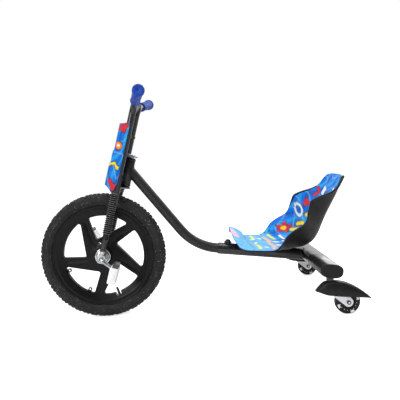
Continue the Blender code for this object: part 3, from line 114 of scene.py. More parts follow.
def add_rings(bm, rings, matrix=Matrix()):
    """A closed form through rings of points, equal in number."""
    fresh = bmesh.new()
    rings = [[fresh.verts.new(point) for point in ring] for ring in rings]
    for first, second in zip(rings, rings[1:]):
        join_rings(fresh, first, second)
    fresh.faces.new(rings[0])
    fresh.faces.new(rings[-1])
    absorb(bm, fresh, matrix)


def add_stack(bm, levels, matrix=Matrix()):
    """A closed form from outlines with equal numbers of (x, y) points, each at its height."""
    add_rings(bm, [[(x, y, height) for x, y in outline] for outline, height in levels], matrix)


def add_prism(bm, outline, low, high, matrix=Matrix(), edge=0.0):
    """Extrudes an outline, with its top and bottom edges rounded by edge."""
    levels = [(outline, low + edge), (outline, high - edge)]
    if edge:
        soft = 0.3 * edge
        inner, middle = grown(outline, -edge), grown(outline, -soft)
        levels = [(inner, low), (middle, low + soft), *levels, (middle, high - soft), (inner, high)]
    add_stack(bm, levels, matrix)


def add_block(bm, size, matrix=Matrix(), bevel=0.0, segments=3):
    fresh = bmesh.new()
    bmesh.ops.create_cube(fresh, size=1.0, matrix=Matrix.Diagonal((*size, 1.0)))
    if bevel:
        settings = {"offset": bevel, "segments": segments, "profile": 0.5, "affect": "EDGES"}
        bmesh.ops.bevel(fresh, geom=fresh.edges[:], **settings)
    absorb(bm, fresh, matrix)


def add_swept(bm, path, radius, sides=32, bore=0.0, looped=False):
    """A round rod along a path, or a pipe where bore isn't zero. Radius may be a list, one for each point."""
    fresh = bmesh.new()
    radii = radius if isinstance(radius, (list, tuple)) else [radius] * len(path)
    frames = tube_frames(path, looped)
    shells = []
    for inside in (False, True) if bore else (False,):
        rings = []
        for point, size, (across, other) in zip(path, radii, frames):
            size = bore if inside else size
            spots = [point + across * x + other * y for x, y in circle((0, 0), size, sides)]
            rings.append([fresh.verts.new(spot) for spot in spots])
        shells.append(rings)
        for first, second in zip(rings, rings[1:] + (rings[:1] if looped else [])):
            join_rings(fresh, first, second)
    for end in () if looped else (0, -1):
        if bore:
            join_rings(fresh, shells[0][end], shells[1][end])
        else:
            fresh.faces.new(shells[0][end])
    absorb(bm, fresh)


def tube_frames(path, looped=False):
    """Two directions across the path at each point, carried along it without twist."""
    count = len(path)
    across, frames = None, []
    for index in range(count):
        before = path[index - 1] if looped else path[max(index - 1, 0)]
        after = path[(index + 1) % count] if looped else path[min(index + 1, count - 1)]
        tangent = (after - before).normalized()
        across = tangent.orthogonal() if across is None else across
        across = (across - tangent * across.dot(tangent)).normalized()
        frames.append((across, tangent.cross(across)))
    return frames


def rounded_path(corners, radius, steps=16):
    """The corner points as a path whose inner corners are arcs of the given radius."""
    path = [corners[0]]
    for before, corner, after in zip(corners, corners[1:], corners[2:]):
        back, ahead = (before - corner).normalized(), (after - corner).normalized()
        half = back.angle(ahead) / 2
        centre = corner + (back + ahead).normalized() * (radius / math.sin(half))
        start = corner + back * (radius / math.tan(half)) - centre
        end = corner + ahead * (radius / math.tan(half)) - centre
        turn = start.angle(end)
        for step in range(steps + 1):
            part = step / steps
            path.append(
                centre
                + start * (math.sin((1 - part) * turn) / math.sin(turn))
                + end * (math.sin(part * turn) / math.sin(turn))
            )
    path.append(corners[-1])
    return path


def divided(path, longest):
    """The path with extra points so that no stretch is longer than longest."""
    points = []
    for first, second in zip(path, path[1:]):
        count = max(1, math.ceil((second - first).length / longest))
        points += [first.lerp(second, step / count) for step in range(count)]
    return points + [path[-1]]


def smooth_rows(rows, per_gap):
    """A Catmull-Rom curve through rows of numbers, with per_gap stretches between neighbours."""
    rows = np.array(rows, float)
    padded = np.concatenate([2 * rows[:1] - rows[1:2], rows, 2 * rows[-1:] - rows[-2:-1]])
    out = []
    for index in range(1, len(padded) - 2):
        p0, p1, p2, p3 = padded[index - 1:index + 3]
        for step in range(per_gap):
            t = step / per_gap
            out.append(
                0.5 * (2 * p1 + (p2 - p0) * t + (2 * p0 - 5 * p1 + 4 * p2 - p3) * t**2
                       + (3 * p1 - p0 - 3 * p2 + p3) * t**3)
            )
    out.append(rows[-1])
    return np.array(out)


def turns(count):
    """Evenly spaced angles round a full turn."""
    return [math.tau * step / count for step in range(count)]


def circle(centre, radius, steps):
    x, y = centre
    return [(x + radius * math.cos(turn), y + radius * math.sin(turn)) for turn in turns(steps)]


def wrapped(circles, steps=48):
    """The taut outline round some circles, each given as (x, y, radius)."""
    points = [point for x, y, radius in circles for point in circle((x, y), radius, steps)]
    return [points[index] for index in convex_hull_2d(points)]


def grown(outline, amount):
    """The outline moved outwards by amount, or inwards where it is negative. Amount may be a list."""
    points = np.array(outline, float)
    along = np.roll(points, -1, 0) - np.roll(points, 1, 0)
    along /= np.linalg.norm(along, axis=1)[:, None]
    after = np.roll(points, -1, 0)
    area = np.sum(points[:, 0] * after[:, 1] - after[:, 0] * points[:, 1])
    out = np.stack([along[:, 1], -along[:, 0]], 1) * (1 if area > 0 else -1)
    return [tuple(point) for point in points + out * np.reshape(amount, (-1, 1))]


def superellipse(half_length, half_height, steps=96):
    """The flat oval of the crossbar's tube."""
    points = []
    for turn in turns(steps):
        parts = (math.cos(turn), math.sin(turn))
        x, y = (math.copysign(abs(part) ** (2 / OVAL_POWER), part) for part in parts)
        points.append((half_length * x, half_height * y))
    return points


def mirrored(profile):
    """The half profile above zero with its mirror image below."""
    return list(profile) + [(radius, -height) for radius, height in reversed(profile) if height > 0]


def outwards(side):
    """Turns +Z to point out towards one side."""
    return Matrix.Diagonal((1.0, -side, 1.0, 1.0)) @ UPRIGHT


def polar(angle, radius):
    """A place in the wheel's plane."""
    return Matrix.Translation((radius * math.cos(angle), 0.0, radius * math.sin(angle)))


def carved(bm, tool, operation="DIFFERENCE"):
    """The first mesh with the second cut out of it, or fused on."""
    pair = []
    for part in (bm, tool):
        mesh = bpy.data.meshes.new("carve")
        part.to_mesh(mesh)
        part.free()
        pair.append(bpy.data.objects.new("carve", mesh))
        bpy.context.scene.collection.objects.link(pair[-1])
    modifier = pair[0].modifiers.new("carve", "BOOLEAN")
    modifier.operation, modifier.object, modifier.solver = operation, pair[1], "EXACT"
    bpy.context.view_layer.update()
    solved = pair[0].evaluated_get(bpy.context.evaluated_depsgraph_get())
    left = bmesh.new()
    left.from_mesh(solved.to_mesh())
    for obj in pair:
        bpy.data.meshes.remove(obj.data)
    return left


def grid_normals(grid):
    down = np.gradient(grid, axis=0)
    along = np.gradient(grid, axis=1)
    normals = np.cross(down, along)
    return normals / np.linalg.norm(normals, axis=2)[:, :, None]


def sheet_mesh(name, grid, start, thickness, facing, lip=None):
    """A closed sheet under a grid of points, with a rounded rim. Its outer face looks towards facing."""
    normals = grid_normals(grid)
    rows, columns = grid.shape[:2]
    if normals[rows // 2, columns // 2] @ np.array(facing) < 0:
        normals = -normals
    lip = thickness / 2 if lip is None else lip
    outer = grid - normals * start
    inner = grid - normals * (start + thickness)
    loop = [(0, c) for c in range(columns)] + [(r, columns - 1) for r in range(1, rows)]
    loop += [(rows - 1, c) for c in range(columns - 2, -1, -1)] + [(r, 0) for r in range(rows - 2, 0, -1)]
    rims = []
    for share, out in ((0.15, 0.7), (0.5, 1.0), (0.85, 0.7)):
        for r, c in loop:
            away = np.zeros(3)
            if r in (0, rows - 1):
                away += grid[r, c] - grid[1 if r == 0 else rows - 2, c]
            if c in (0, columns - 1):
                away += grid[r, c] - grid[r, 1 if c == 0 else columns - 2]
            away *= lip * out / np.linalg.norm(away)
            rims.append(outer[r, c] * (1 - share) + inner[r, c] * share + away)
    verts = np.concatenate([outer.reshape(-1, 3), inner.reshape(-1, 3), np.array(rims)])
    count, size = rows * columns, len(loop)
    faces = []
    for r in range(rows - 1):
        for c in range(columns - 1):
            a = r * columns + c
            faces.append((a, a + 1, a + columns + 1, a + columns))
            faces.append(tuple(count + x for x in (a, a + columns, a + columns + 1, a + 1)))
    rings = [[r * columns + c for r, c in loop]]
    rings += [[2 * count + level * size + index for index in range(size)] for level in range(3)]
    rings.append([count + r * columns + c for r, c in loop])
    for first, second in zip(rings, rings[1:]):
        for index in range(size):
            following = (index + 1) % size
            faces.append((first[index], second[index], second[following], first[following]))
    mesh = bpy.data.meshes.new(name)
    mesh.from_pydata(verts.tolist(), [], faces)
    bm = bmesh.new()
    bm.from_mesh(mesh)
    bmesh.ops.recalc_face_normals(bm, faces=bm.faces)
    bm.to_mesh(mesh)
    bm.free()
    return mesh


# ---------------------------------------------------------------- looks

def tone(red, green, blue):
    """A colour as it looks on screen, 0 to 255, as the linear values that shaders take."""
    values = []
    for level in (red, green, blue):
        level /= 255
        values.append(level / 12.92 if level <= 0.04045 else ((level + 0.055) / 1.055) ** 2.4)
    return (*values, 1.0)


def add_node(tree, kind, inputs=(), **settings):
    """A new shader node. Each input is a value, or the socket that feeds it."""
    made = tree.nodes.new(kind)
    for key, value in settings.items():
        setattr(made, key, value)
    for key, value in dict(inputs).items():
        if isinstance(value, bpy.types.NodeSocket):
            tree.links.new(value, made.inputs[key])
        else:
            made.inputs[key].default_value = value
    return made


def spread(tree, value, low, high, start, end):
    """The value carried over from low..high to start..end."""
    inputs = {"Value": value, "From Min": low, "From Max": high, "To Min": start, "To Max": end}
    return add_node(tree, "ShaderNodeMapRange", inputs).outputs["Result"]


class Look:
    """A material whose colour, roughness and surface come from a few layered noises."""

    def __init__(self, name):
        self.material = bpy.data.materials.new(name)
        self.material.use_nodes = True
        self.tree = self.material.node_tree
        self.shader = self.tree.nodes["Principled BSDF"]
        self.place = self.tree.nodes.new("ShaderNodeTexCoord").outputs["Object"]

    def node(self, kind, inputs=(), **settings):
        return add_node(self.tree, kind, inputs, **settings)

    def constants(self, **values):
        """Sets the shader's own sockets, with _ for each space in a socket's name."""
        for name, value in values.items():
            self.shader.inputs[name.replace("_", " ")].default_value = value

    def link(self, output, socket):
        self.tree.links.new(output, self.shader.inputs[socket])

    def noise(self, scale, detail=4.0, rough=0.55, stretch=None, swirl=0.0):
        place = self.place
        if stretch:
            place = self.node("ShaderNodeMapping", {"Vector": place, "Scale": stretch}).outputs["Vector"]
        inputs = {"Vector": place, "Scale": scale, "Detail": detail, "Roughness": rough, "Distortion": swirl}
        return self.node("ShaderNodeTexNoise", inputs).outputs["Fac"]

    def ramp(self, source, stops):
        made = self.node("ShaderNodeValToRGB", {"Fac": source})
        band = made.color_ramp
        while len(band.elements) < len(stops):
            band.elements.new(0.5)
        for element, (place, colour) in zip(band.elements, stops):
            element.position = place
            element.color = colour if isinstance(colour, tuple) else (colour, colour, colour, 1.0)
        return made.outputs["Color"]

    def mix(self, share, first, second, blend="MIX"):
        inputs = {0: share, 6: first, 7: second}
        return self.node("ShaderNodeMix", inputs, data_type="RGBA", blend_type=blend).outputs[2]

    def roughness(self, low, high, scale=40.0, stretch=None):
        self.link(spread(self.tree, self.noise(scale, 5.0, 0.6, stretch), 0.3, 0.7, low, high), "Roughness")

    def bumps(self, *layers):
        """Each layer is (height source, strength, distance)."""
        normal = None
        for source, strength, distance in layers:
            inputs = {"Height": source, "Strength": strength, "Distance": distance}
            if normal:
                inputs["Normal"] = normal
            normal = self.node("ShaderNodeBump", inputs).outputs["Normal"]
        self.link(normal, "Normal")

    def dusty(self, colour, dust, amount):
        """Fine dust on what faces up, thicker in patches."""
        facing = self.node("ShaderNodeNewGeometry").outputs["Normal"]
        up = self.node("ShaderNodeSeparateXYZ", {"Vector": facing}).outputs["Z"]
        patches = self.noise(9.0, 6.0, 0.65)
        share = self.node("ShaderNodeMath", {0: up, 1: patches}, operation="MULTIPLY").outputs[0]
        return self.mix(spread(self.tree, share, 0.25, 0.75, 0.0, amount), colour, dust)

    def worn(self, colour, bare, amount):
        """Rubbed paint on the sharpest edges."""
        edge = self.node("ShaderNodeNewGeometry").outputs["Pointiness"]
        scuffs = self.noise(160.0, 4.0, 0.7)
        share = self.node("ShaderNodeMath", {0: edge, 1: scuffs}, operation="MULTIPLY").outputs[0]
        return self.mix(spread(self.tree, share, 0.31, 0.4, 0.0, amount), colour, bare)


def paint_look(name, dark, light, rough, coat=0.35):
    """Sprayed enamel over steel: a faint orange peel under a clear gloss."""
    look = Look(name)
    colour = look.ramp(look.noise(22.0, 5.0, 0.6), ((0.3, dark), (0.75, light)))
    colour = look.worn(colour, tone(92, 92, 94), 0.5)
    look.link(look.dusty(colour, tone(118, 118, 120), 0.05), "Base Color")
    look.roughness(rough * 0.75, rough * 1.5, 30.0)
    look.constants(Coat_Weight=coat, Coat_Roughness=0.12)
    look.bumps((look.noise(420.0, 2.0, 0.5), 0.05, 0.0004), (look.noise(45.0, 3.0, 0.5), 0.02, 0.002))
    return look.material


def plastic_look(name, dark, light, rough, grain=0.25, scale=900.0, dust=0.02, gloss=0.5):
    """Moulded plastic with a fine leathery grain."""
    look = Look(name)
    colour = look.ramp(look.noise(14.0, 6.0, 0.6), ((0.3, dark), (0.75, light)))
    colour = look.worn(colour, tone(110, 110, 112), 0.25)
    look.link(look.dusty(colour, tone(150, 150, 150), dust), "Base Color")
    look.roughness(rough * 0.82, rough * 1.2, 55.0)
    look.constants(Specular_IOR_Level=gloss)
    cells = look.node("ShaderNodeTexVoronoi", {"Vector": look.place, "Scale": scale}).outputs["Distance"]
    look.bumps((cells, grain, 0.0003), (look.noise(38.0, 4.0, 0.5), 0.06, 0.002))
    return look.material


def rubber_look(name, dark, light, rough, dust=0.02, gloss=0.5, grain=0.25, specks=None, crest=None):
    """Rubber with a dull bloom, pale specks where asked, which paint glints of light on a tread, and a
    painted highlight that lightens the crests of ribs.
    """
    look = Look(name)
    colour = look.ramp(look.noise(26.0, 7.0, 0.65), ((0.28, dark), (0.78, light)))
    # Specks lays pale dots in patches. On the tyre they paint glints of light on the tread blocks.
    if specks:
        cells = look.node("ShaderNodeTexVoronoi", {"Vector": look.place, "Scale": 230.0})
        spots = look.ramp(cells.outputs["Distance"], ((0.1, 1.0), (0.22, 0.0)))
        chosen = look.ramp(look.noise(90.0, 3.0, 0.6), ((0.5, 0.0), (0.62, 1.0)))
        colour = look.mix(look.mix(1.0, spots, chosen, "MULTIPLY"), colour, specks)
    # Crest paints a highlight: the outermost part of each rib is lightened as if light caught it.
    if crest:
        height = look.node("ShaderNodeAttribute", attribute_name="CrestHighlight").outputs["Fac"]
        colour = look.mix(look.ramp(height, ((0.7, 0.0), (0.98, 1.0))), colour, crest)
    look.link(look.dusty(colour, tone(140, 138, 132), dust), "Base Color")
    look.roughness(rough * 0.85, min(rough * 1.2, 1.0), 70.0)
    look.constants(Specular_IOR_Level=gloss)
    fine, coarse = look.noise(700.0, 4.0, 0.6), look.noise(60.0, 4.0, 0.6)
    look.bumps((fine, grain, 0.0005), (coarse, 0.4 * grain, 0.0015))
    return look.material


def metal_look(name, dark, light, rough, stretch=None, grain=0.02, blotch=18.0, metallic=1.0):
    """Plated steel, with faint handling marks and a fine texture from the drawing or rolling."""
    look = Look(name)
    marks = look.noise(blotch, 6.0, 0.65)
    look.link(look.ramp(marks, ((0.25, dark), (0.72, light))), "Base Color")
    look.constants(Metallic=metallic)
    look.roughness(rough * 0.8, rough * 1.4, 30.0, stretch)
    look.bumps((look.noise(260.0, 3.0, 0.6, stretch), grain, 0.0004))
    return look.material


def print_look(name):
    """A printed sheet: colours of the pattern in the mesh, ink speckle over them, under a clear film."""
    look = Look(name)
    ink = look.node("ShaderNodeAttribute", attribute_name="Print").outputs["Color"]
    strokes = look.ramp(look.noise(70.0, 5.0, 0.7, (1.0, 0.35, 0.5), 0.6), ((0.42, 0.0), (0.66, 0.07)))
    colour = look.mix(strokes, ink, tone(150, 220, 245))
    specks = look.ramp(look.noise(330.0, 3.0, 0.6), ((0.6, 0.0), (0.72, 0.25)))
    colour = look.mix(specks, colour, tone(10, 50, 120))
    look.link(look.dusty(colour, tone(205, 215, 222), 0.01), "Base Color")
    look.roughness(0.42, 0.6, 35.0)
    look.constants(Specular_IOR_Level=0.12, Coat_Weight=0.03, Coat_Roughness=0.2)
    look.bumps((look.noise(500.0, 2.0, 0.5), 0.05, 0.0003), (look.noise(24.0, 3.0, 0.5), 0.1, 0.002))
    return look.material


LOOKS = {
    name: kind(name, tone(*dark), tone(*light), rough, **more)
    for name, kind, dark, light, rough, more in (
        # The tyre's pale specks paint glints of the top light on its tread blocks.
        ("tyre_rubber", rubber_look, (25, 25, 26), (42, 42, 42), 0.72,
         {"specks": tone(190, 188, 182), "dust": 0.1, "gloss": 0.3}),
        ("black_rubber", rubber_look, (8, 8, 9), (14, 14, 15), 0.2,
         {"dust": 0.01, "gloss": 1.0, "grain": 0.03}),
        # The crest colour paints highlights on the bellows' rib crests.
        ("ribbed_rubber", rubber_look, (6, 6, 7), (10, 10, 11), 0.4,
         {"dust": 0.01, "gloss": 0.3, "grain": 0.02, "crest": tone(108, 108, 112)}),
        ("caster_rubber", rubber_look, (16, 16, 17), (28, 28, 30), 0.5, {"gloss": 0.35}),
        ("blue_grip", rubber_look, (16, 50, 138), (28, 74, 178), 0.5, {"gloss": 0.3, "grain": 0.02}),
        ("frame_black", paint_look, (14, 14, 15), (22, 22, 23), 0.28, {}),
        ("satin_black", paint_look, (15, 15, 16), (22, 22, 23), 0.5, {"coat": 0.08}),
        ("wheel_black", plastic_look, (8, 8, 9), (14, 14, 15), 0.34,
         {"grain": 0.08, "dust": 0.015, "gloss": 0.2}),
        ("black_plastic", plastic_look, (16, 16, 17), (26, 26, 28), 0.45,
         {"grain": 0.18, "dust": 0.03, "gloss": 0.28}),
        ("pale_plastic", plastic_look, (240, 241, 243), (250, 250, 251), 0.4, {"grain": 0.08}),
        ("grey_reflector", plastic_look, (62, 62, 65), (84, 84, 87), 0.25, {"grain": 0.3, "scale": 420.0}),
        ("chrome", metal_look, (150, 153, 154), (236, 237, 238), 0.1, {"grain": 0.002, "blotch": 14.0}),
        ("zinc_steel", metal_look, (226, 227, 229), (245, 245, 246), 0.34,
         {"stretch": (1.0, 1.0, 4.0), "grain": 0.05, "metallic": 0.45}),
    )
}
LOOKS["printed_sheet"] = print_look("printed_sheet")


def add_piece(name, shape, slot, body, nodes=(), sharp=40, look=None):
    """A finished mesh as a piece that rides on a body and stands for the nodes."""
    if isinstance(shape, bmesh.types.BMesh):
        mesh = bpy.data.meshes.new(name)
        shape.to_mesh(mesh)
        shape.free()
    else:
        mesh = shape
    mesh.shade_smooth()
    mesh.set_sharp_from_angle(angle=math.radians(sharp))
    mesh.materials.append(LOOKS[look or slot])
    obj = bpy.data.objects.new(name, mesh)
    bpy.context.scene.collection.objects.link(obj)
    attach(obj, body)
    if nodes:
        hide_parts(*nodes)
    return obj


# ---------------------------------------------------------------- front wheel

# Outer half of the tyre's section: (radius, out from the middle).
TYRE_CROWN = (
    (0.2004, 0.0), (0.2001, 0.007), (0.1991, 0.0135), (0.1968, 0.0185), (0.1928, 0.0225), (0.187, 0.0246),
    (0.181, 0.0253), (0.174, 0.0233), (0.168, 0.0193), (0.164, 0.0167),
)
TREAD_STEPS = 46
LUG_HEIGHT = 0.003
CROWN_LUG = (0.0012, 0.0124)
SHOULDER_LUG = (0.0144, 0.0216)


def tyre_height(out):
    """Radius of the carcass under the tread at a distance from the middle."""
    radii, outs = zip(*TYRE_CROWN[:6])
    return float(np.interp(abs(out), outs, radii))


def add_lug(bm, start, end, near, far):
    """A tread block between two angles and two distances from the middle."""
    verts = []
    for lift, inset in ((-0.0008, 0.0), (LUG_HEIGHT, 0.0005)):
        for angle, out in ((start, near), (end, near), (end, far), (start, far)):
            turn = angle + (inset / WHEEL_RADIUS if angle == start else -inset / WHEEL_RADIUS)
            out = out + math.copysign(inset, far - near) * (1 if out == near else -1)
            tilt = math.radians(33) * max(0.0, (abs(out) - 0.013) / 0.009)
            radius = tyre_height(out) + lift * math.cos(tilt)
            across = out + math.copysign(lift * math.sin(tilt), out)
            verts.append(bm.verts.new((radius * math.cos(turn), across, radius * math.sin(turn))))
    low, top = verts[:4], verts[4:]
    join_rings(bm, low, top)
    bm.faces.new(low)
    bm.faces.new(top)


def build_tyre():
    rings = ((0.1905, 0.0009), (0.1765, 0.0011), (0.169, 0.0012), (0.1652, -0.0022))
    ribbed = []
    for radius, out in smooth_rows(TYRE_CROWN, 6):
        swell = sum(height * math.exp(-(((radius - ring) / 0.001) ** 2)) for ring, height in rings)
        ribbed.append((radius, out + swell))
    inner = [
        (0.1634, 0.0165), (0.163, 0.0131), (0.1536, 0.0131), (0.159, 0.009), (0.18, 0.0215), (0.193, 0.0125),
    ]
    upper = ribbed + inner + [(0.196, 0.0)]
    profile = upper + [(radius, -out) for radius, out in reversed(upper[1:-1])]
    bm = turned(profile, UPRIGHT, 144)
    lugs = bmesh.new()
    pitch = math.tau / TREAD_STEPS
    for step in range(TREAD_STEPS):
        for side in (-1, 1):
            crown = (step + 1 + (side > 0)) % 2 == 0
            near, far = CROWN_LUG if crown else SHOULDER_LUG
            for half in (0.09, 0.53):
                start = (step + half) * pitch
                add_lug(lugs, start, start + 0.38 * pitch, side * near, side * far)
    bmesh.ops.recalc_face_normals(lugs, faces=lugs.faces)
    bmesh.ops.bevel(lugs, geom=lugs.edges[:], offset=0.0006, segments=2, profile=0.6, affect="EDGES")
    absorb(bm, lugs)
    move(bm, WHEEL)
    add_piece("front_tyre", bm, "tyre_rubber", "front_wheel", ("tyre",))


WINDOW_TIP_ANGLE = math.radians(181.2)
WINDOW_NEAR_ANGLE = WINDOW_TIP_ANGLE - math.radians(3.6)
WINDOW_FAR_ANGLE = WINDOW_TIP_ANGLE - math.radians(62.2)
WINDOW_TIP_RADIUS = 0.056
WINDOW_RADIUS = 0.1302
WINDOW_COUNT = 5
VALVE_ANGLE = math.radians(-75.6)
VALVE = Matrix.Rotation(math.radians(90) - VALVE_ANGLE, 4, "Y")
VALVE_TIP = 0.1155
VALVE_RADIUS = 0.0042
VALVE_NOTCH_RADIUS = 0.1425
WINDOW_CORNER_RADIUS = 0.006


def web_height(radius):
    """Half the thickness of the wheel's web."""
    return float(np.interp(radius, (0.031, 0.128, 0.15), (0.013, 0.0085, 0.015)))


def window_outline():
    """One raked window: a rounded tip at the hub and an arc under the rim."""
    arc_steps = 24
    tip = polar(WINDOW_TIP_ANGLE, WINDOW_TIP_RADIUS).translation
    corners = [Vector((tip.x, tip.z, 0.0))]
    for step in range(arc_steps + 1):
        angle = WINDOW_NEAR_ANGLE + (WINDOW_FAR_ANGLE - WINDOW_NEAR_ANGLE) * step / arc_steps
        corners.append(Vector((math.cos(angle), math.sin(angle), 0.0)) * WINDOW_RADIUS)
    rounded = []
    for index, corner in enumerate(corners):
        if index not in (0, 1, arc_steps + 1):
            if min((corner - corners[1]).length, (corner - corners[-1]).length) > WINDOW_CORNER_RADIUS:
                rounded.append(corner)
            continue
        before = corners[index - 1] if index != 1 else corners[0]
        after = corners[(index + 1) % len(corners)] if index != arc_steps + 1 else corners[0]
        if index == 1:
            after = corner + (corners[2] - corner).normalized() * 0.02
        if index == arc_steps + 1:
            before = corner + (corners[-2] - corner).normalized() * 0.02
        rounded += rounded_path([before, corner, after], WINDOW_CORNER_RADIUS, 6)[1:-1]
    return [(point.x, point.y) for point in divided(rounded + rounded[:1], 0.006)[:-1]]


def build_wheel():
    upper = (
        (0.0054, 0.025), (0.0244, 0.025), (0.0252, 0.0242), (0.0272, 0.018), (0.029, 0.0148), (0.032, 0.0131),
        (0.06, 0.0116), (0.095, 0.01), (0.128, 0.0085), (0.131, 0.0089), (0.1345, 0.0102), (0.144, 0.0132),
        (0.149, 0.0147), (0.1505, 0.0156), (0.1525, 0.0158), (0.1538, 0.0153), (0.1604, 0.0162),
        (0.1612, 0.0168), (0.1626, 0.0169), (0.163, 0.016), (0.1628, 0.0135), (0.1532, 0.0134),
        (0.1532, 0.0085), (0.147, 0.005),
    )
    bm = turned(mirrored(upper), UPRIGHT, 180)
    tools = bmesh.new()
    outline = window_outline()
    heights = [web_height(math.hypot(x, z)) for x, z in outline]
    # The windows' edges flare towards both faces: (rise over the web, widening).
    flares = ((0.01, 0.0032), (0.0002, 0.0022), (-0.0008, 0.0007), (-0.0026, 0.0))
    rings = []
    for side, levels in ((-1, flares), (1, flares[::-1])):
        for rise, flare in levels:
            spots = zip(grown(outline, flare), heights)
            rings.append([(x, y, side * (height + rise)) for (x, y), height in spots])
    for turn in turns(WINDOW_COUNT):
        add_rings(tools, rings, UPRIGHT @ Matrix.Rotation(turn, 4, "Z"))
    add_turned(tools, rod(0.005, -0.03, 0.03), polar(math.radians(101), 0.0405) @ UPRIGHT, 24)
    add_turned(tools, rod(VALVE_RADIUS + 0.0003, VALVE_TIP, 0.16), VALVE, 24)
    bm = carved(bm, tools)
    notch = bmesh.new()
    spot = VALVE @ Matrix.Translation((0.0, 0.0, (VALVE_TIP + VALVE_NOTCH_RADIUS) / 2))
    add_block(notch, (0.018, 0.06, VALVE_NOTCH_RADIUS - VALVE_TIP), spot, 0.003, 3)
    bm = carved(bm, notch)
    creases = bmesh.new()
    for turn in turns(WINDOW_COUNT):
        for side in (-1, 1):
            add_spoke_crease(creases, turn, side)
    bm = carved(bm, creases)
    for angle in (math.radians(-161.5), math.radians(-118.2)):
        eyelet = mirrored(((0.0032, 0.0036), (0.0036, 0.0042), (0.006, 0.0042), (0.0067, 0.0034)))
        add_turned(bm, eyelet, polar(angle, 0.124) @ UPRIGHT, 32)
        lying = polar(angle, 0.1318) @ Matrix.Rotation(-angle, 4, "Y")
        add_block(bm, (0.007, 0.0066, 0.006), lying, 0.0006, 2)
    move(bm, WHEEL)
    add_piece("spoked_wheel", bm, "wheel_black", "front_wheel", ("wheel_rim",), 30)


def add_spoke_crease(bm, turn, side):
    """A shallow V along one spoke, from the hub's shoulder out to the rim, that gives it two facets."""
    steps, reach, rise, depth = 20, 0.014, 0.002, 0.0026
    middles = []
    for step in range(steps + 1):
        part = step / steps
        angle = math.radians(203 - 20.5 * part**0.45) + turn
        middles.append(polar(angle, 0.034 + (0.139 - 0.034) * part).translation)
    rings = []
    for step, middle in enumerate(middles):
        ahead = middles[min(step + 1, steps)] - middles[max(step - 1, 0)]
        aside = Vector((-ahead.z, 0.0, ahead.x)).normalized()
        height = web_height(middle.length)
        fade = min(1.0, 5 * step / steps, 5 * (1 - step / steps))
        top = Vector((0.0, side * (height + rise), 0.0))
        foot = Vector((0.0, side * (height + 0.0004 - depth * fade), 0.0))
        rings.append([middle + spot for spot in (aside * reach + top, foot, top - aside * reach)])
    add_rings(bm, rings)


def build_tube_and_valve():
    radius = VALVE_RADIUS
    stem = [(0.0, VALVE_TIP), (radius - 0.0004, VALVE_TIP), (radius, VALVE_TIP + 0.0006)]
    for groove in range(8):
        height = 0.117 + groove * 0.001
        stem += [(radius, height), (radius - 0.0003, height + 0.0004), (radius, height + 0.0008)]
    stem += [(radius - 0.0002, 0.1255), (radius, 0.126), (radius, 0.163), (0.0, 0.163)]
    bm = turned(circle((0.1745, 0.0), 0.0125, 20), UPRIGHT, 72)
    add_turned(bm, stem, VALVE, 28)
    move(bm, WHEEL)
    add_piece("tube_and_valve", bm, "black_rubber", "front_wheel", ("inner_tube",))


def build_hub_plates():
    plate = (
        (0.0054, 0.0253), (0.025, 0.0253), (0.0254, 0.0258), (0.0253, 0.027), (0.0246, 0.0279),
        (0.0236, 0.0283), (0.02, 0.0285), (0.0196, 0.0281), (0.0188, 0.0281), (0.0184, 0.0285),
        (0.01, 0.0288), (0.0086, 0.0293), (0.0081, 0.0304), (0.008, 0.048), (0.0076, 0.0487), (0.0068, 0.049),
        (0.0054, 0.049),
    )
    for name, side in SIDES:
        shape = turned(plate, WHEEL @ outwards(side), 96)
        add_piece(f"chrome_plate_{name}", shape, "chrome", "front_wheel", (f"hub_plate_{name}",), 50)


CRANK_TIP = polar(math.radians(-43), 0.06).translation
CRANK_PLANE = 0.078
SPINDLE_END = 0.158


def build_crank():
    """The bent axle with a collar by each pedal, and the heads that hold the pedals on."""
    out, end = Vector((0.0, CRANK_PLANE, 0.0)), Vector((0.0, SPINDLE_END - 0.004, 0.0))
    corners = [CRANK_TIP - end, CRANK_TIP - out, -out, out, out - CRANK_TIP, end - CRANK_TIP]
    head = ((0, 0.1538), (0.0066, 0.1538), (0.0068, 0.1541), (0.0066, 0.1545), (0.005, 0.1549), (0, 0.1551))
    collar = (
        (0.005, 0.0848), (0.0074, 0.085), (0.0078, 0.0856), (0.0078, 0.0868), (0.0074, 0.0874),
        (0.005, 0.0876),
    )
    crank, heads = bmesh.new(), bmesh.new()
    add_swept(crank, rounded_path(corners, 0.01, 14), 0.005, 32)
    for side in (-1, 1):
        place = Matrix.Translation(-side * CRANK_TIP) @ outwards(side)
        add_turned(heads, head, place, 40)
        add_turned(crank, collar, place, 40)
    move(crank, WHEEL)
    move(heads, WHEEL)
    add_piece("bent_crank", crank, "chrome", "front_wheel", ("crank_axle",))
    add_piece("spindle_heads", heads, "pale_plastic", "front_wheel")


PEDAL_LEANS = {"left": math.radians(20), "right": math.radians(-21)}
PEDAL_SIZE = Vector((0.025, 0.0635, 0.05))
PEDAL_OUT = 0.12025
REFLECTOR_SIZE = (0.0185, 0.0535, 0.0108)
REFLECTOR_SHIFT = 0.0015


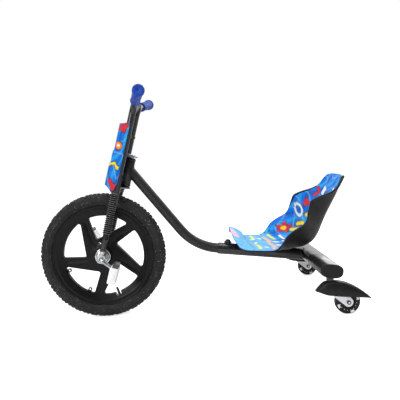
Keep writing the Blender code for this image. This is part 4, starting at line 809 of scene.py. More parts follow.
def build_pedal(name, side):
    """A block with grooved treads, and a reflector held at its upper end."""
    place = WHEEL @ Matrix.Translation(-side * CRANK_TIP) @ Matrix.Rotation(PEDAL_LEANS[name], 4, "Y")
    place = place @ Matrix.Translation((0.0, side * PEDAL_OUT, 0.0))
    bm = bmesh.new()
    add_block(bm, PEDAL_SIZE, bevel=0.0034, segments=4)
    tools = turned(rod(0.0054, -0.2, 0.2), UPRIGHT, 32)
    groove_size = (0.003, PEDAL_SIZE.y - 0.012, 0.0026)
    for face in (-1, 1):
        for groove in range(6):
            spot = Matrix.Translation((face * PEDAL_SIZE.x / 2, 0.0, -0.0175 + groove * 0.007))
            add_block(tools, groove_size, spot, 0.0009, 2)
    bm = carved(bm, tools)
    move(bm, place)
    add_piece(f"foot_pedal_{name}", bm, "pale_plastic", f"pedal_{name}", (f"pedal_{name}",), 30)

    thick, width, tall = REFLECTOR_SIZE
    rise = (PEDAL_SIZE.z + tall) / 2 + 0.0003
    bm, tools = bmesh.new(), bmesh.new()
    add_block(bm, REFLECTOR_SIZE, Matrix.Translation((REFLECTOR_SHIFT, 0.0, rise)), 0.0018, 3)
    for face in (-1, 1):
        spot = Matrix.Translation((REFLECTOR_SHIFT + face * thick / 2, 0.0, rise))
        add_block(tools, (0.002, width - 0.006, tall - 0.004), spot, 0.0006, 2)
    bm = carved(bm, tools)
    for face in (-1, 1):
        back = REFLECTOR_SHIFT + face * (thick / 2 - 0.001)
        for column in range(15):
            spot = Matrix.Translation((back, -0.0224 + column * 0.0032, rise))
            add_block(bm, (0.0014, 0.0024, tall - 0.0052), spot, 0.0006, 2)
    move(bm, place)
    add_piece(f"reflector_{name}", bm, "grey_reflector", f"pedal_{name}", (f"pedal_reflector_{name}",), 30)


# ---------------------------------------------------------------- fork and handlebar

BAR_CORNER = 0.493
BAR_DIRECTION = Vector((0.1395, 1.0, 0.215)).normalized()
LEG_RADIUS = 0.011


def leg_foot(side, height=0.0):
    """A place on a fork leg's centre line, as the fork sees it."""
    return Matrix.Translation((-FORK_OFFSET, side * LEG_HALF_SPACING, height))


def leg(side, height=0.0):
    return STEERING @ leg_foot(side, height)


def build_slider(name, side):
    tube = ((0.0088, 0.024), (0.009, 0.0245), (0.009, 0.2995), (0.0088, 0.3), (0.0074, 0.3), (0.0074, 0.024))
    shape = turned(tube, leg(side), 48)
    add_piece(f"slider_tube_{name}", shape, "frame_black", "fork_sliders", (f"slider_{name}",))

    eye = (
        (0.0125, 0.008), (0.0146, 0.008), (0.0153, 0.0076), (0.0155, 0.0068), (0.0155, -0.0068),
        (0.0153, -0.0076), (0.0146, -0.008), (0.0076, -0.008), (0.0075, -0.0062), (0.0125, -0.0062),
    )
    stem = (
        (0.0, 0.0146), (0.0078, 0.0146), (0.0082, 0.0165), (0.0086, 0.0185), (0.0088, 0.0205),
        (0.0088, 0.0234), (0.007, 0.0237), (0.007, 0.048), (0.0, 0.048),
    )
    bm = turned(eye, leg(side) @ outwards(side), 80)
    add_turned(bm, stem, leg(side), 48)
    add_piece(f"axle_holder_{name}", bm, "chrome", "fork_sliders", (f"bearing_holder_{name}",), 50)

    ring = (
        (0.0054, -0.0055), (0.0122, -0.0055), (0.0122, 0.0032), (0.0119, 0.0035), (0.0108, 0.0035),
        (0.0105, 0.0028), (0.0074, 0.0028), (0.0071, 0.0035), (0.0054, 0.0035),
    )
    shape = turned(ring, leg(side) @ outwards(side))
    add_piece(f"wheel_bearing_{name}", shape, "zinc_steel", "fork_sliders", (f"axle_bearing_{name}",))


BELLOWS_TOP = 0.2135
BELLOWS_BOTTOM = 0.062


def build_bellows(name, side):
    """Ribbed boot with rounded convolutions, a plain cuff below and a clamp ring at each end."""
    ribs, pitch, outer, root, bore = 20, 0.0065, 0.0138, 0.0102, 0.0098
    foot = BELLOWS_TOP - 0.004 - ribs * pitch
    lip = root + 0.0003
    cuff = ((bore, 0.0), (root - 0.0002, 0.0), (lip, 0.0006), (lip, 0.0042), (root, 0.0048))
    profile = [(radius, BELLOWS_BOTTOM + rise) for radius, rise in cuff] + [(root, foot)]
    for rib in range(ribs):
        for step in range(1, 9):
            part = step / 8
            swell = 0.5 - 0.5 * math.cos(math.tau * part)
            profile.append((root + (outer - root) * swell, foot + (rib + part) * pitch))
    band = ((outer, 0.003), (outer, 0.0005), (outer - 0.0005, 0.0), (bore, 0.0))
    profile += [(radius, BELLOWS_TOP - drop) for radius, drop in band]
    nodes = (f"fork_bellows_{name}",)
    shape = turned(profile, leg(side), 40)
    boot = add_piece(f"bellows_{name}", shape, "black_rubber", "steering", nodes, 60, "ribbed_rubber")
    # Stores how far each point stands out between rib root and crest. This is the mask for the painted crest
    # highlight.
    way = np.array(STEERING_AXIS.normalized())
    points = np.array([boot.matrix_world @ vert.co for vert in boot.data.vertices])
    offset = points - np.array(leg(side, BELLOWS_TOP).translation)
    reach = np.linalg.norm(offset - (offset @ way)[:, None] * way, axis=1)
    crest = boot.data.attributes.new("CrestHighlight", "FLOAT", "POINT")
    crest.data.foreach_set("value", np.clip((reach - root) / (outer - root), 0, 1).astype(np.float32))
    leg(side, BELLOWS_TOP).translation
    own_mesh(boot)


SPRING_TURNS = 5
SPRING_BOTTOM = 0.3025
SPRING_TOP = 0.385


def build_spring(name, side):
    """Coil inside the fork tube, between its stop and the slider's end."""
    steps, radius = 28, 0.0076
    count = SPRING_TURNS * steps
    path = []
    for index in range(count + 1):
        angle = math.tau * index / steps
        rise = SPRING_BOTTOM + (SPRING_TOP - SPRING_BOTTOM) * index / count
        path.append(leg(side, rise) @ Vector((radius * math.cos(angle), radius * math.sin(angle), 0.0)))
    bm = bmesh.new()
    add_swept(bm, path, 0.0012, 10)
    coil = add_piece(f"coil_{name}", bm, "zinc_steel", "steering", (f"fork_spring_{name}",), 60)
    leg(side, SPRING_TOP).translation
    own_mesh(coil)


def bar_corner(side):
    return leg_foot(side, BAR_CORNER).translation


def bar_direction(side):
    return Vector((BAR_DIRECTION.x, side * BAR_DIRECTION.y, BAR_DIRECTION.z))


def build_fork_tube(name, side):
    """A leg that bends outwards into the handlebar, with the spring's stop inside."""
    corner = bar_corner(side)
    ends = [leg_foot(side, 0.2145).translation, corner, corner + bar_direction(side) * 0.145]
    bm = bmesh.new()
    add_swept(bm, divided(rounded_path(ends, 0.036, 20), 0.02), LEG_RADIUS, 44, 0.0094)
    add_turned(bm, rod(0.0098, 0.3865, 0.3895), leg_foot(side), 32)
    move(bm, STEERING)
    add_piece(f"bent_tube_{name}", bm, "frame_black", "steering", (f"fork_tube_{name}",))


GRIP_SECTION = (
    (0.0113, 0.041, 0), (0.015, 0.041, 0), (0.0157, 0.0414, 0), (0.0158, 0.043, 0), (0.0156, 0.0446, 0),
    (0.0148, 0.0454, 0), (0.0144, 0.0468, 0), (0.0144, 0.049, 0), (0.0147, 0.051, 1), (0.015, 0.08, 1),
    (0.0154, 0.105, 1), (0.0157, 0.123, 1), (0.0158, 0.13, 1), (0.0155, 0.1325, 0), (0.0155, 0.135, 0),
    (0.016, 0.137, 0), (0.0174, 0.1388, 0), (0.018, 0.1402, 0), (0.018, 0.1478, 0), (0.0177, 0.1492, 0),
    (0.0168, 0.1505, 0), (0.0155, 0.151, 0), (0.0075, 0.151, 0), (0.0062, 0.1504, 0), (0.005, 0.1488, 0),
    (0.002, 0.1482, 0),
)


def build_grip(name, side):
    """Rubber grip: fluted body with cross rings, a flange, and a closed end with a dimple."""
    flutes, sides = 18, 108
    dense = []
    for (r0, h0, f0), (r1, h1, f1) in zip(GRIP_SECTION, GRIP_SECTION[1:]):
        count = max(1, round((h1 - h0) / 0.0015)) if f0 and f1 else 1
        dense += [(r0 + (r1 - r0) * k / count, h0 + (h1 - h0) * k / count, f0) for k in range(count)]
    dense.append(GRIP_SECTION[-1])
    bore, bottom = GRIP_SECTION[0][0], 0.1453
    rings = [[(x, y, bottom) for x, y in circle((0, 0), bore, sides)]]
    for index, (radius, height, fluted) in enumerate(dense):
        ring = []
        for turn in turns(sides):
            size = radius
            if fluted:
                size -= 0.0006 * (0.5 + 0.5 * math.cos(flutes * turn)) + 0.00025 * (index % 3 == 0)
            ring.append((size * math.cos(turn), size * math.sin(turn), height))
        rings.append(ring)
    aim = bar_direction(side).to_track_quat("Z", "Y").to_matrix().to_4x4()
    bm = bmesh.new()
    add_rings(bm, rings, STEERING @ Matrix.Translation(bar_corner(side)) @ aim)
    add_piece(f"rubber_grip_{name}", bm, "blue_grip", "steering", (f"grip_{name}",), 50)


def build_crowns():
    plates = (
        ("lower_crown", 0.23, 0.235, 0.019, "crown_plate_lower"),
        ("upper_crown", 0.3335, 0.3367, 0.022, "crown_plate_upper"),
    )
    collar = ((0, 0.215), (0.0138, 0.215), (0.0143, 0.2155), (0.0143, 0.2355), (0.0138, 0.236), (0, 0.236))
    for node, low, high, middle, name in plates:
        lobes = [(-FORK_OFFSET, side * LEG_HALF_SPACING, 0.0133) for side in (-1, 1)]
        bm = bmesh.new()
        add_prism(bm, wrapped(lobes + [(0.0, 0.0, middle)]), low, high, edge=0.0008)
        bores = turned(rod(0.0113, low - 0.05, high + 0.05), steps=48)
        collars = bmesh.new()
        for side in (-1, 1):
            add_turned(collars, collar, leg_foot(side))
            add_turned(bores, rod(0.0112, low - 0.05, high + 0.05), leg_foot(side), 48)
        if node == "lower_crown":
            bm = carved(bm, collars, "UNION")
        bm = carved(bm, bores)
        move(bm, STEERING)
        add_piece(name, bm, "frame_black", "steering", (node,), 30)


def build_steerer():
    tube = ((0, 0.228), (0.0105, 0.228), (0.011, 0.2285), (0.011, 0.3388), (0.0107, 0.3391), (0, 0.3391))
    add_piece("steerer_tube", turned(tube, STEERING, 48), "zinc_steel", "steering", ("steerer",))
    dome = ((0, 0.3394), (0.0112, 0.3394), (0.0111, 0.34), (0.0104, 0.3406), (0.009, 0.3409), (0, 0.3409))
    bm = bmesh.new()
    add_prism(bm, divided_outline(circle((0.0, 0.0), 0.013, 6), 4), 0.337, 0.3397, STEERING, 0.0005)
    add_turned(bm, dome, STEERING, 48)
    add_piece("top_nut", bm, "zinc_steel", "steering", ("steerer_nut",), 30)


def divided_outline(outline, count):
    """The outline with each side cut into count stretches."""
    points, parts = [], [step / count for step in range(count)]
    for (x0, y0), (x1, y1) in zip(outline, outline[1:] + outline[:1]):
        points += [(x0 + (x1 - x0) * part, y0 + (y1 - y0) * part) for part in parts]
    return points


# ---------------------------------------------------------------- printed pattern

INKS = {
    name: tone(*levels)
    for name, levels in {
        "blue": (0, 112, 218), "cyan": (40, 180, 228), "ice": (170, 226, 240), "white": (236, 242, 246),
        "yellow": (246, 214, 40), "orange": (240, 130, 40), "red": (214, 34, 48), "black": (16, 18, 26),
        "navy": (8, 44, 120), "rose": (244, 190, 212), "lemon": (228, 236, 110), "peach": (246, 190, 160),
    }.items()
}


def disc(u, v, across, along, radius):
    """Distance from a disc's edge, negative inside, as with stroke and burst."""
    return np.hypot(u - across, v - along) - radius


def stroke(u, v, points, width):
    """Distance from a bent line of the given width."""
    best = np.full(u.shape, 1.0)
    for (x0, y0), (x1, y1) in zip(points, points[1:]):
        dx, dy = x1 - x0, y1 - y0
        part = np.clip(((u - x0) * dx + (v - y0) * dy) / (dx * dx + dy * dy), 0, 1)
        best = np.minimum(best, np.hypot(u - x0 - part * dx, v - y0 - part * dy))
    return best - width / 2


def burst(u, v, across, along, radius, arms, depth, turn=0.0):
    angle = np.arctan2(v - along, u - across) + turn
    return np.hypot(u - across, v - along) - radius * (1 + depth * np.cos(arms * angle)) / (1 + depth)


def lay(colours, distance, ink, soft=0.0009):
    share = np.clip(0.5 - distance / (2 * soft), 0.0, 1.0)[..., None]
    colours[:] = colours * (1 - share) + np.array(INKS[ink])[:3] * share


def outlined(colours, distance, ink, edge="black", border=0.0022):
    lay(colours, distance - border, edge)
    lay(colours, distance, ink)


def base_colours(u, v, pale_sheen):
    """Bright blue ground with slanting cyan brush marks. The last argument, from 0 to 1, turns it light cyan:
    a painted sheen of the light from above.
    """
    colours = np.ones(u.shape + (3,)) * np.array(INKS["blue"])[:3]
    sweep = np.sin(95 * u + 52 * v + 1.6 * np.sin(41 * v) + 0.9 * np.sin(77 * u + 2.0))
    marks = np.sin(43 * u - 120 * v + 2.2 * np.sin(46 * u + 21 * v))
    for value, low, high, ink, most in (
        (sweep, 0.3, 0.9, "cyan", 0.6), (-sweep, 0.7, 0.95, "navy", 0.45), (marks, 0.9, 0.98, "ice", 0.3),
    ):
        share = np.clip((value - low) / (high - low), 0, 1)[..., None] * most
        colours = colours * (1 - share) + np.array(INKS[ink])[:3] * share
    pale_sheen = np.asarray(pale_sheen)[..., None]
    light = 0.62 * np.array(INKS["cyan"])[:3] + 0.38 * np.array(INKS["ice"])[:3]
    return colours * (1 - pale_sheen) + (0.25 * colours + 0.75 * light) * pale_sheen


def seat_print(u, v):
    """U runs across the seat, v up it from the front lip."""
    # The pan below the back turns pale light cyan: a painted sheen of the light from above, laid over the
    # print.
    colours = base_colours(u, v, 0.95 * np.clip((0.205 - v) / 0.035, 0, 1))
    for side in (-1, 1):
        def line(width, *points):
            return stroke(u, v, [(side * across, along) for across, along in points], width)

        lay(colours, line(0.026, (0.024, 0.004), (0.044, 0.018)), "rose", 0.004)
        lay(colours, line(0.014, (0.04, 0.102), (0.08, 0.108), (0.118, 0.096)), "lemon", 0.003)
        lay(colours, line(0.015, (0.01, 0.158), (0.055, 0.166), (0.105, 0.156)), "peach", 0.004)
        lay(colours, line(0.013, (0.075, 0.192), (0.122, 0.184)), "lemon", 0.003)
        lay(colours, disc(u, v, side * 0.03, 0.186, 0.012), "white", 0.004)
        lay(colours, disc(u, v, side * 0.078, 0.134, 0.01), "white", 0.004)
        for width, start, run, along, swing, count in (
            (0.0018, 0.018, 0.006, 0.074, 0.004, 18), (0.0016, 0.04, 0.007, 0.144, 0.003, 12),
        ):
            squiggle = [(start + run * k, along + swing * (-1) ** k) for k in range(count)]
            lay(colours, line(width, *squiggle), "navy")
        for dash in range(7):
            start = 0.06 + 0.023 * dash
            lay(colours, line(0.0045, (0.141, start), (0.145, start + 0.007)), "black")
        outlined(colours, burst(u, v, side * 0.132, 0.25, 0.023, 5, 0.28, 0.6 * side), "red")
        lay(colours, disc(u, v, side * 0.132, 0.25, 0.008), "yellow")
        for rise in (0.0, 0.024):
            chevron = line(0.011, (0.072, 0.262 + rise), (0.092, 0.284 + rise), (0.112, 0.264 + rise))
            outlined(colours, chevron, "yellow")
        outlined(colours, np.abs(disc(u, v, side * 0.128, 0.33, 0.018)) - 0.005, "white")
        outlined(colours, line(0.01, (0.07, 0.224), (0.104, 0.222)), "white", "navy")
        outlined(colours, burst(u, v, side * 0.104, 0.378, 0.018, 3, 0.35, 1.1 * side), "red")
        outlined(colours, line(0.012, (0.09, 0.338), (0.072, 0.352)), "yellow")
        outlined(colours, disc(u, v, side * 0.066, 0.404, 0.013), "yellow")
        outlined(colours, line(0.009, (0.094, 0.418), (0.08, 0.436), (0.094, 0.452)), "red")
        outlined(colours, burst(u, v, side * 0.048, 0.446, 0.02, 4, 0.22, 0.5), "white")
    outlined(colours, burst(u, v, 0.0, 0.3, 0.03, 6, 0.28), "orange")
    lay(colours, disc(u, v, 0.0, 0.3, 0.01), "white")
    zigzag = [(-0.036, 0.362), (-0.012, 0.348), (0.012, 0.362), (0.036, 0.348)]
    outlined(colours, stroke(u, v, zigzag, 0.009), "red")
    outlined(colours, stroke(u, v, [(-0.03, 0.232), (0.0, 0.246), (0.03, 0.232)], 0.009), "yellow")
    return colours


def shield_print(u, v):
    """U runs across the shield, v up it from its foot."""
    colours = base_colours(u * 1.2, v * 1.2 + 0.2, np.zeros(u.shape))
    for side in (-1, 1):
        outlined(colours, stroke(u, v, [(side * 0.112, 0.006), (side * 0.088, 0.022)], 0.016), "red")
        outlined(colours, burst(u, v, side * 0.086, 0.184, 0.017, 4, 0.25, 0.4), "red")
        chevron = [(side * 0.066, 0.062), (side * 0.086, 0.078), (side * 0.106, 0.062)]
        outlined(colours, stroke(u, v, chevron, 0.007), "yellow")
        outlined(colours, disc(u, v, side * 0.082, 0.13, 0.011), "orange")
        lay(colours, disc(u, v, side * 0.082, 0.13, 0.004), "white")
        outlined(colours, burst(u, v, side * 0.034, 0.06, 0.015, 5, 0.3, side), "white", "navy")
    outlined(colours, burst(u, v, 0.0, 0.12, 0.028, 6, 0.28), "orange")
    lay(colours, disc(u, v, 0.0, 0.12, 0.01), "yellow")
    zigzag = [(-0.05, 0.172), (-0.018, 0.186), (0.016, 0.168), (0.05, 0.184)]
    outlined(colours, stroke(u, v, zigzag, 0.009), "yellow")
    outlined(colours, stroke(u, v, [(-0.046, 0.022), (0.0, 0.036), (0.046, 0.02)], 0.008), "red")
    return colours


def ink_mesh(mesh, grid, design):
    """Stores the pattern's colours on the sheet. The outer face's points come first in the mesh."""
    middle = grid.shape[1] // 2
    across = np.linalg.norm(np.diff(grid, axis=1), axis=2)
    u = np.concatenate([np.zeros((grid.shape[0], 1)), np.cumsum(across, axis=1)], axis=1)
    u -= u[:, middle:middle + 1]
    along = np.linalg.norm(np.diff(grid[:, middle], axis=0), axis=1)
    v = np.repeat(np.concatenate([[0.0], np.cumsum(along)])[:, None], grid.shape[1], axis=1)
    colours = design(u, v).reshape(-1, 3)
    values = np.ones((len(mesh.vertices), 4))
    values[:, :3] = np.array(INKS["blue"])[:3]
    values[:len(colours), :3] = colours
    attribute = mesh.attributes.new("Print", "FLOAT_COLOR", "POINT")
    attribute.data.foreach_set("color", values.astype(np.float32).ravel())


# ---------------------------------------------------------------- shield

SHIELD_COLUMNS = (
    (0.0405, 0.0, 0.2320, 0.4260), (0.0400, 0.028, 0.2320, 0.4262), (0.0385, 0.052, 0.2320, 0.4266),
    (0.0350, 0.0675, 0.2320, 0.4272), (0.0290, 0.0738, 0.2300, 0.4280), (0.0200, 0.075, 0.2225, 0.4300),
    (0.0095, 0.075, 0.2160, 0.4330), (-0.0015, 0.075, 0.2450, 0.4350),
)
SHIELD_DEPTH = 0.0405
SHIELD_THICKNESS = 0.0026
SHIELD_TOP_SHARE = 0.84


def shield_share(height):
    """How far out the shield stands at a height: it steps back twice towards the top."""
    return float(np.interp(height, (0.2995, 0.3045, 0.3395, 0.3455), (1.0, 0.925, 0.925, SHIELD_TOP_SHARE)))


def build_shield():
    half = smooth_rows(SHIELD_COLUMNS, 8)
    half[:, 1] = np.minimum(half[:, 1], 0.0752)
    columns = np.concatenate([(half[1:] * (1, -1, 1, 1))[::-1], half])
    levels = 120
    grid = np.zeros((levels + 1, len(columns), 3))
    for index, (ahead, y, low, high) in enumerate(columns):
        for level in range(levels + 1):
            height = low + (high - low) * level / levels
            grid[level, index] = (-FORK_OFFSET - ahead * shield_share(height), y, height)
    mesh = sheet_mesh("printed_shield", grid, 0.0, SHIELD_THICKNESS, (-1.0, 0.0, 0.0), 0.0008)
    ink_mesh(mesh, grid, shield_print)
    mesh.transform(STEERING)
    add_piece("printed_shield", mesh, "printed_sheet", "steering", ("front_shield",), 60)
    top_depth = SHIELD_TOP_SHARE * SHIELD_DEPTH
    for place, height, depth in (("lower", 0.275, SHIELD_DEPTH), ("upper", 0.395, top_depth)):
        build_shield_bracket(place, height, depth)


def build_shield_bracket(place, height, depth):
    """A bent strip between the legs, and the screw that holds the shield to it."""
    half = ((0.0, 0.056), (0.0053 - depth, 0.05), (0.0039 - depth, 0.03), (0.003 - depth, 0.01))
    inner = ((0.007 - depth, -0.045), (0.0, -0.0485))
    outline = list(half) + [(x, -y) for x, y in reversed(half)]
    outline += [(x, y) for x, y in reversed(inner)] + [(x, -y) for x, y in inner]
    legs = Matrix.Translation((-FORK_OFFSET, 0.0, height))
    ring = ((0, -0.004), (0.0124, -0.004), (0.0128, -0.0036), (0.0128, 0.0036), (0.0124, 0.004), (0, 0.004))
    bm, rings, bores = bmesh.new(), bmesh.new(), bmesh.new()
    add_prism(bm, divided_outline(outline, 3), -0.006, 0.006, legs, 0.0005)
    for side in (-1, 1):
        add_turned(rings, ring, leg_foot(side, height), 48)
        add_turned(bores, rod(0.0112, -0.02, 0.02), leg_foot(side, height), 48)
    bm = carved(carved(bm, rings, "UNION"), bores)
    move(bm, STEERING)
    add_piece(f"shield_bar_{place}", bm, "frame_black", "steering", (f"shield_bracket_{place}",), 30)

    forward = STEERING @ legs @ Matrix.Rotation(math.radians(-90), 4, "Y")
    screw = screw_section(0.005, 0.0031, 0.0021, depth + 0.0004, depth - 0.009)
    nodes = (f"shield_screw_{place}",)
    add_piece(f"shield_fixing_{place}", turned(screw, forward, 40), "zinc_steel", "steering", nodes)


def screw_section(head, rise, shank, seat, end):
    """A pan-headed screw with a socket in its head, from the shank's end to the head's top."""
    shares = ((0.98, 0.35), (0.86, 0.7), (0.62, 0.95), (0.45, 1.0), (0.4, 0.4), (0.0, 0.35))
    profile = [(0, end), (shank * 0.8, end), (shank, end + shank * 0.3), (shank, seat), (head * 0.96, seat)]
    return profile + [(head, seat + 0.0004)] + [(head * out, seat + rise * up) for out, up in shares]


# ---------------------------------------------------------------- frame

BEAM_SLOPE = math.radians(10.4)
HEAD_BOTTOM, HEAD_TOP, HEAD_RADIUS = 0.2442, 0.321, 0.017
MAIN_TUBE_RADIUS = 0.016
SLEEVE_START, SLEEVE_END, SLEEVE_RADIUS = 0.3745, 0.653, 0.019
SADDLES = (("front", 0.497), ("rear", 0.597))
KNOB_BEHIND = 0.405
CROSSBAR_BEHIND, CROSSBAR_HEIGHT, CROSSBAR_LEAN = 0.678, 0.1305, math.radians(11.5)
CROSSBAR_HALF_LENGTH, CROSSBAR_HALF_DEPTH, CROSSBAR_HALF_WIDTH = 0.033, 0.02, 0.2415
CASTER_Y = 0.23
KINGPIN_BEHIND = 0.6735


def beam_height(behind):
    """Height of the beam's centre line at a distance behind the front axle."""
    return CROSSBAR_HEIGHT - 0.0014 + (CROSSBAR_BEHIND - behind) * math.tan(BEAM_SLOPE)


def beam_matrix(behind):
    place = GROUND @ Matrix.Translation((behind, 0.0, beam_height(behind)))
    return place @ Matrix.Rotation(math.radians(90) + BEAM_SLOPE, 4, "Y")


def add_weld(bm, points, radius):
    """A bead of overlapping ripples along a closed line."""
    path = []
    total = points + points[:1]
    for first, second in zip(total, total[1:]):
        count = max(1, round((second - first).length / 0.0011))
        path += [first.lerp(second, step / count) for step in range(count)]
    radii = [radius * (1.0 + 0.13 * math.sin(index * 2.1)) for index in range(len(path))]
    add_swept(bm, path, radii, 10, looped=True)


def build_head():
    head = (
        (0.015, HEAD_BOTTOM), (0.0166, HEAD_BOTTOM), (HEAD_RADIUS, HEAD_BOTTOM + 0.0005),
        (HEAD_RADIUS, HEAD_TOP - 0.0005), (0.0166, HEAD_TOP), (0.015, HEAD_TOP),
    )
    shape = turned(head, STEERING, 72)
    add_piece("head_barrel", shape, "frame_black", "front_frame", ("head_tube",), look="satin_black")
    bush = (
        (0.0116, -0.01), (0.0147, -0.01), (0.0147, 0.0003), (0.0176, 0.0003), (0.0182, 0.0009),
        (0.0183, 0.0024), (0.0182, 0.0042), (0.0174, 0.0051), (0.0166, 0.0056), (0.0165, 0.008),
        (0.016, 0.0087), (0.0116, 0.0087),
    )
    for place, end, away in (("lower", HEAD_BOTTOM, -1), ("upper", HEAD_TOP, 1)):
        spot = STEERING @ Matrix.Translation((0, 0, end)) @ Matrix.Diagonal((1, 1, away, 1))
        shape = turned(bush, spot, 72)
        add_piece(f"head_bush_{place}", shape, "frame_black", "front_frame", (f"headset_bush_{place}",))


def first_inside(spots, inside):
    """The first of the spots that lies inside another shape, or else the last one."""
    for spot in spots:
        if inside(spot):
            break
    return spot


def build_main_tube():
    """The bent pipe from the head into the sleeve, coped and welded to the head."""
    top = GROUND @ Vector((0.1135, 0.0, 0.4728))
    corner = GROUND @ Vector((0.2999, 0.0, beam_height(0.2999)))
    sleeve = GROUND @ Vector((SLEEVE_START, 0.0, beam_height(SLEEVE_START)))
    along = Vector((math.cos(BEAM_SLOPE), 0.0, -math.sin(BEAM_SLOPE)))
    path = divided(rounded_path([top, corner, sleeve + along * 0.19], 0.175, 24), 0.02)
    bm = bmesh.new()
    add_swept(bm, path, MAIN_TUBE_RADIUS, 48, 0.014)
    bm = carved(bm, turned(rod(0.0166, 0.19, 0.37), STEERING))
    down = (corner - top).normalized()
    side = Vector((0.0, 1.0, 0.0))
    other = down.cross(side)

    def in_head(spot):
        away = spot - STEERING.translation
        return (away - STEERING_AXIS * away.dot(STEERING_AXIS)).length < HEAD_RADIUS + 0.0002

    seam = []
    for turn in turns(48):
        start = top + (side * math.cos(turn) + other * math.sin(turn)) * MAIN_TUBE_RADIUS
        seam.append(first_inside((start + down * (0.06 - 0.0003 * step) for step in range(300)), in_head))
    add_weld(bm, seam, 0.0019)
    add_piece("bent_main_tube", bm, "frame_black", "front_frame", ("main_tube",), look="satin_black")


def build_sleeve():
    """The beam that takes the main tube, with the seat's saddles, the knob's boss and the crossbar's weld."""
    length = (SLEEVE_END - SLEEVE_START) / math.cos(BEAM_SLOPE)
    start = beam_matrix(SLEEVE_START)
    radius = SLEEVE_RADIUS
    bm = turned(((0, 0), (radius - 0.0004, 0), (radius, 0.0005), (radius, length), (0, length)), start, 72)
    saddles = bmesh.new()
    middle = -0.0064 - 0.0012
    for _, behind in SADDLES:
        upright = seat_matrix(behind)
        rise = seat_height(behind) - beam_height(behind)
        post = upright @ Matrix.Translation((0, 0, middle - rise / 2))
        add_block(saddles, (0.028, 0.03, rise), post, 0.0015, 2)
        add_block(saddles, (0.034, 0.084, 0.0024), upright @ Matrix.Translation((0, 0, middle)), 0.0006, 2)
    bm = carved(bm, saddles, "UNION")
    tools = turned(rod(0.0167, -0.01, length + 0.01), start)
    add_turned(tools, rod(0.0042, 0, 0.03), knob_matrix(), 32)
    bm = carved(bm, tools)
    cope = bmesh.new()
    add_prism(cope, crossbar_outline(0.0003), -0.1, 0.1, crossbar_matrix() @ UPRIGHT)
    bm = carved(bm, cope)
    add_weld(bm, crossbar_seam(start), 0.002)
    boss = ((0.0042, 0.018), (0.0072, 0.018), (0.0072, 0.0196), (0.0066, 0.0201), (0.0042, 0.0201))
    add_turned(bm, boss, knob_matrix(), 40)
    add_piece("rear_beam", bm, "frame_black", "rear_frame", ("rear_sleeve",), 30)


def crossbar_seam(start):
    """Where the sleeve's skin meets the crossbar's."""
    inverse = crossbar_matrix().inverted()
    length, depth = CROSSBAR_HALF_LENGTH + 0.0003, CROSSBAR_HALF_DEPTH + 0.0003

    def in_crossbar(spot):
        inside = inverse @ spot
        return (abs(inside.x) / length) ** OVAL_POWER + (abs(inside.z) / depth) ** OVAL_POWER < 1

    return [
        first_inside((start @ Vector((x, y, 0.2 + 0.0003 * step)) for step in range(400)), in_crossbar)
        for x, y in circle((0.0, 0.0), SLEEVE_RADIUS + 0.0002, 48)
    ]


def crossbar_outline(extra=0.0):
    return superellipse(CROSSBAR_HALF_LENGTH + extra, CROSSBAR_HALF_DEPTH + extra)


def crossbar_matrix():
    place = GROUND @ Matrix.Translation((CROSSBAR_BEHIND, 0.0, CROSSBAR_HEIGHT))
    return place @ Matrix.Rotation(CROSSBAR_LEAN, 4, "Y")


def kingpin_matrix(side):
    return GROUND @ Matrix.Translation((KINGPIN_BEHIND, side * CASTER_Y, 0.0))


def build_crossbar():
    """The oval tube with a kingpin housing welded under each end."""
    lying = crossbar_matrix() @ UPRIGHT
    bm, hollow, housings, bores = bmesh.new(), bmesh.new(), bmesh.new(), bmesh.new()
    add_prism(bm, crossbar_outline(), -CROSSBAR_HALF_WIDTH, CROSSBAR_HALF_WIDTH, lying, 0.0005)
    add_prism(hollow, crossbar_outline(-0.002), -0.26, 0.26, lying)
    bm = carved(bm, hollow)
    housing = ((0, 0.1018), (0.01, 0.1018), (0.0105, 0.1023), (0.0105, 0.144), (0, 0.144))
    for side in (-1, 1):
        add_turned(housings, housing, kingpin_matrix(side), 56)
        add_turned(bores, rod(0.0044, 0.09, 0.147), kingpin_matrix(side), 32)
    bm = carved(carved(bm, housings, "UNION"), bores)
    for side in (-1, 1):
        foot = kingpin_matrix(side)
        ring = [foot @ Vector((x, y, underside(x))) for x, y in circle((0.0, 0.0), 0.0107, 40)]
        add_weld(bm, ring, 0.0013)
    add_piece("oval_crossbar", bm, "frame_black", "rear_frame", ("crossbar",), 30)
    for name, side in SIDES:
        build_crossbar_cap(name, side)


def underside(back):
    """Height of the crossbar's underside at a distance back from a kingpin."""
    offset = KINGPIN_BEHIND + back - CROSSBAR_BEHIND
    flat = min(abs(offset / math.cos(CROSSBAR_LEAN)) / CROSSBAR_HALF_LENGTH, 0.98)
    drop = CROSSBAR_HALF_DEPTH * (1 - flat**OVAL_POWER) ** (1 / OVAL_POWER)
    return CROSSBAR_HEIGHT - drop / math.cos(CROSSBAR_LEAN) - offset * math.tan(CROSSBAR_LEAN)


def build_crossbar_cap(name, side):
    """A plug with a dished face. Its levels: (half length, half depth, out from the tube's end)."""
    levels = (
        (0.0307, 0.0177, -0.0005), (0.0307, 0.0177, 0.0003), (0.0328, 0.0198, 0.0003), (0.033, 0.02, 0.0008),
        (0.033, 0.02, 0.0018), (0.0326, 0.0196, 0.0028), (0.0316, 0.0186, 0.0034), (0.0296, 0.0168, 0.0036),
        (0.028, 0.0152, 0.0032), (0.02, 0.01, 0.0032),
    )
    rings = [(superellipse(length, depth), CROSSBAR_HALF_WIDTH + out) for length, depth, out in levels]
    bm = bmesh.new()
    add_stack(bm, rings, crossbar_matrix() @ outwards(side))
    add_piece(f"end_plug_{name}", bm, "black_plastic", "rear_frame", (f"crossbar_cap_{name}",), 50)


def knob_matrix():
    foot = GROUND @ Matrix.Translation((KNOB_BEHIND, 0.0, beam_height(KNOB_BEHIND)))
    return foot @ Matrix.Rotation(BEAM_SLOPE, 4, "Y")


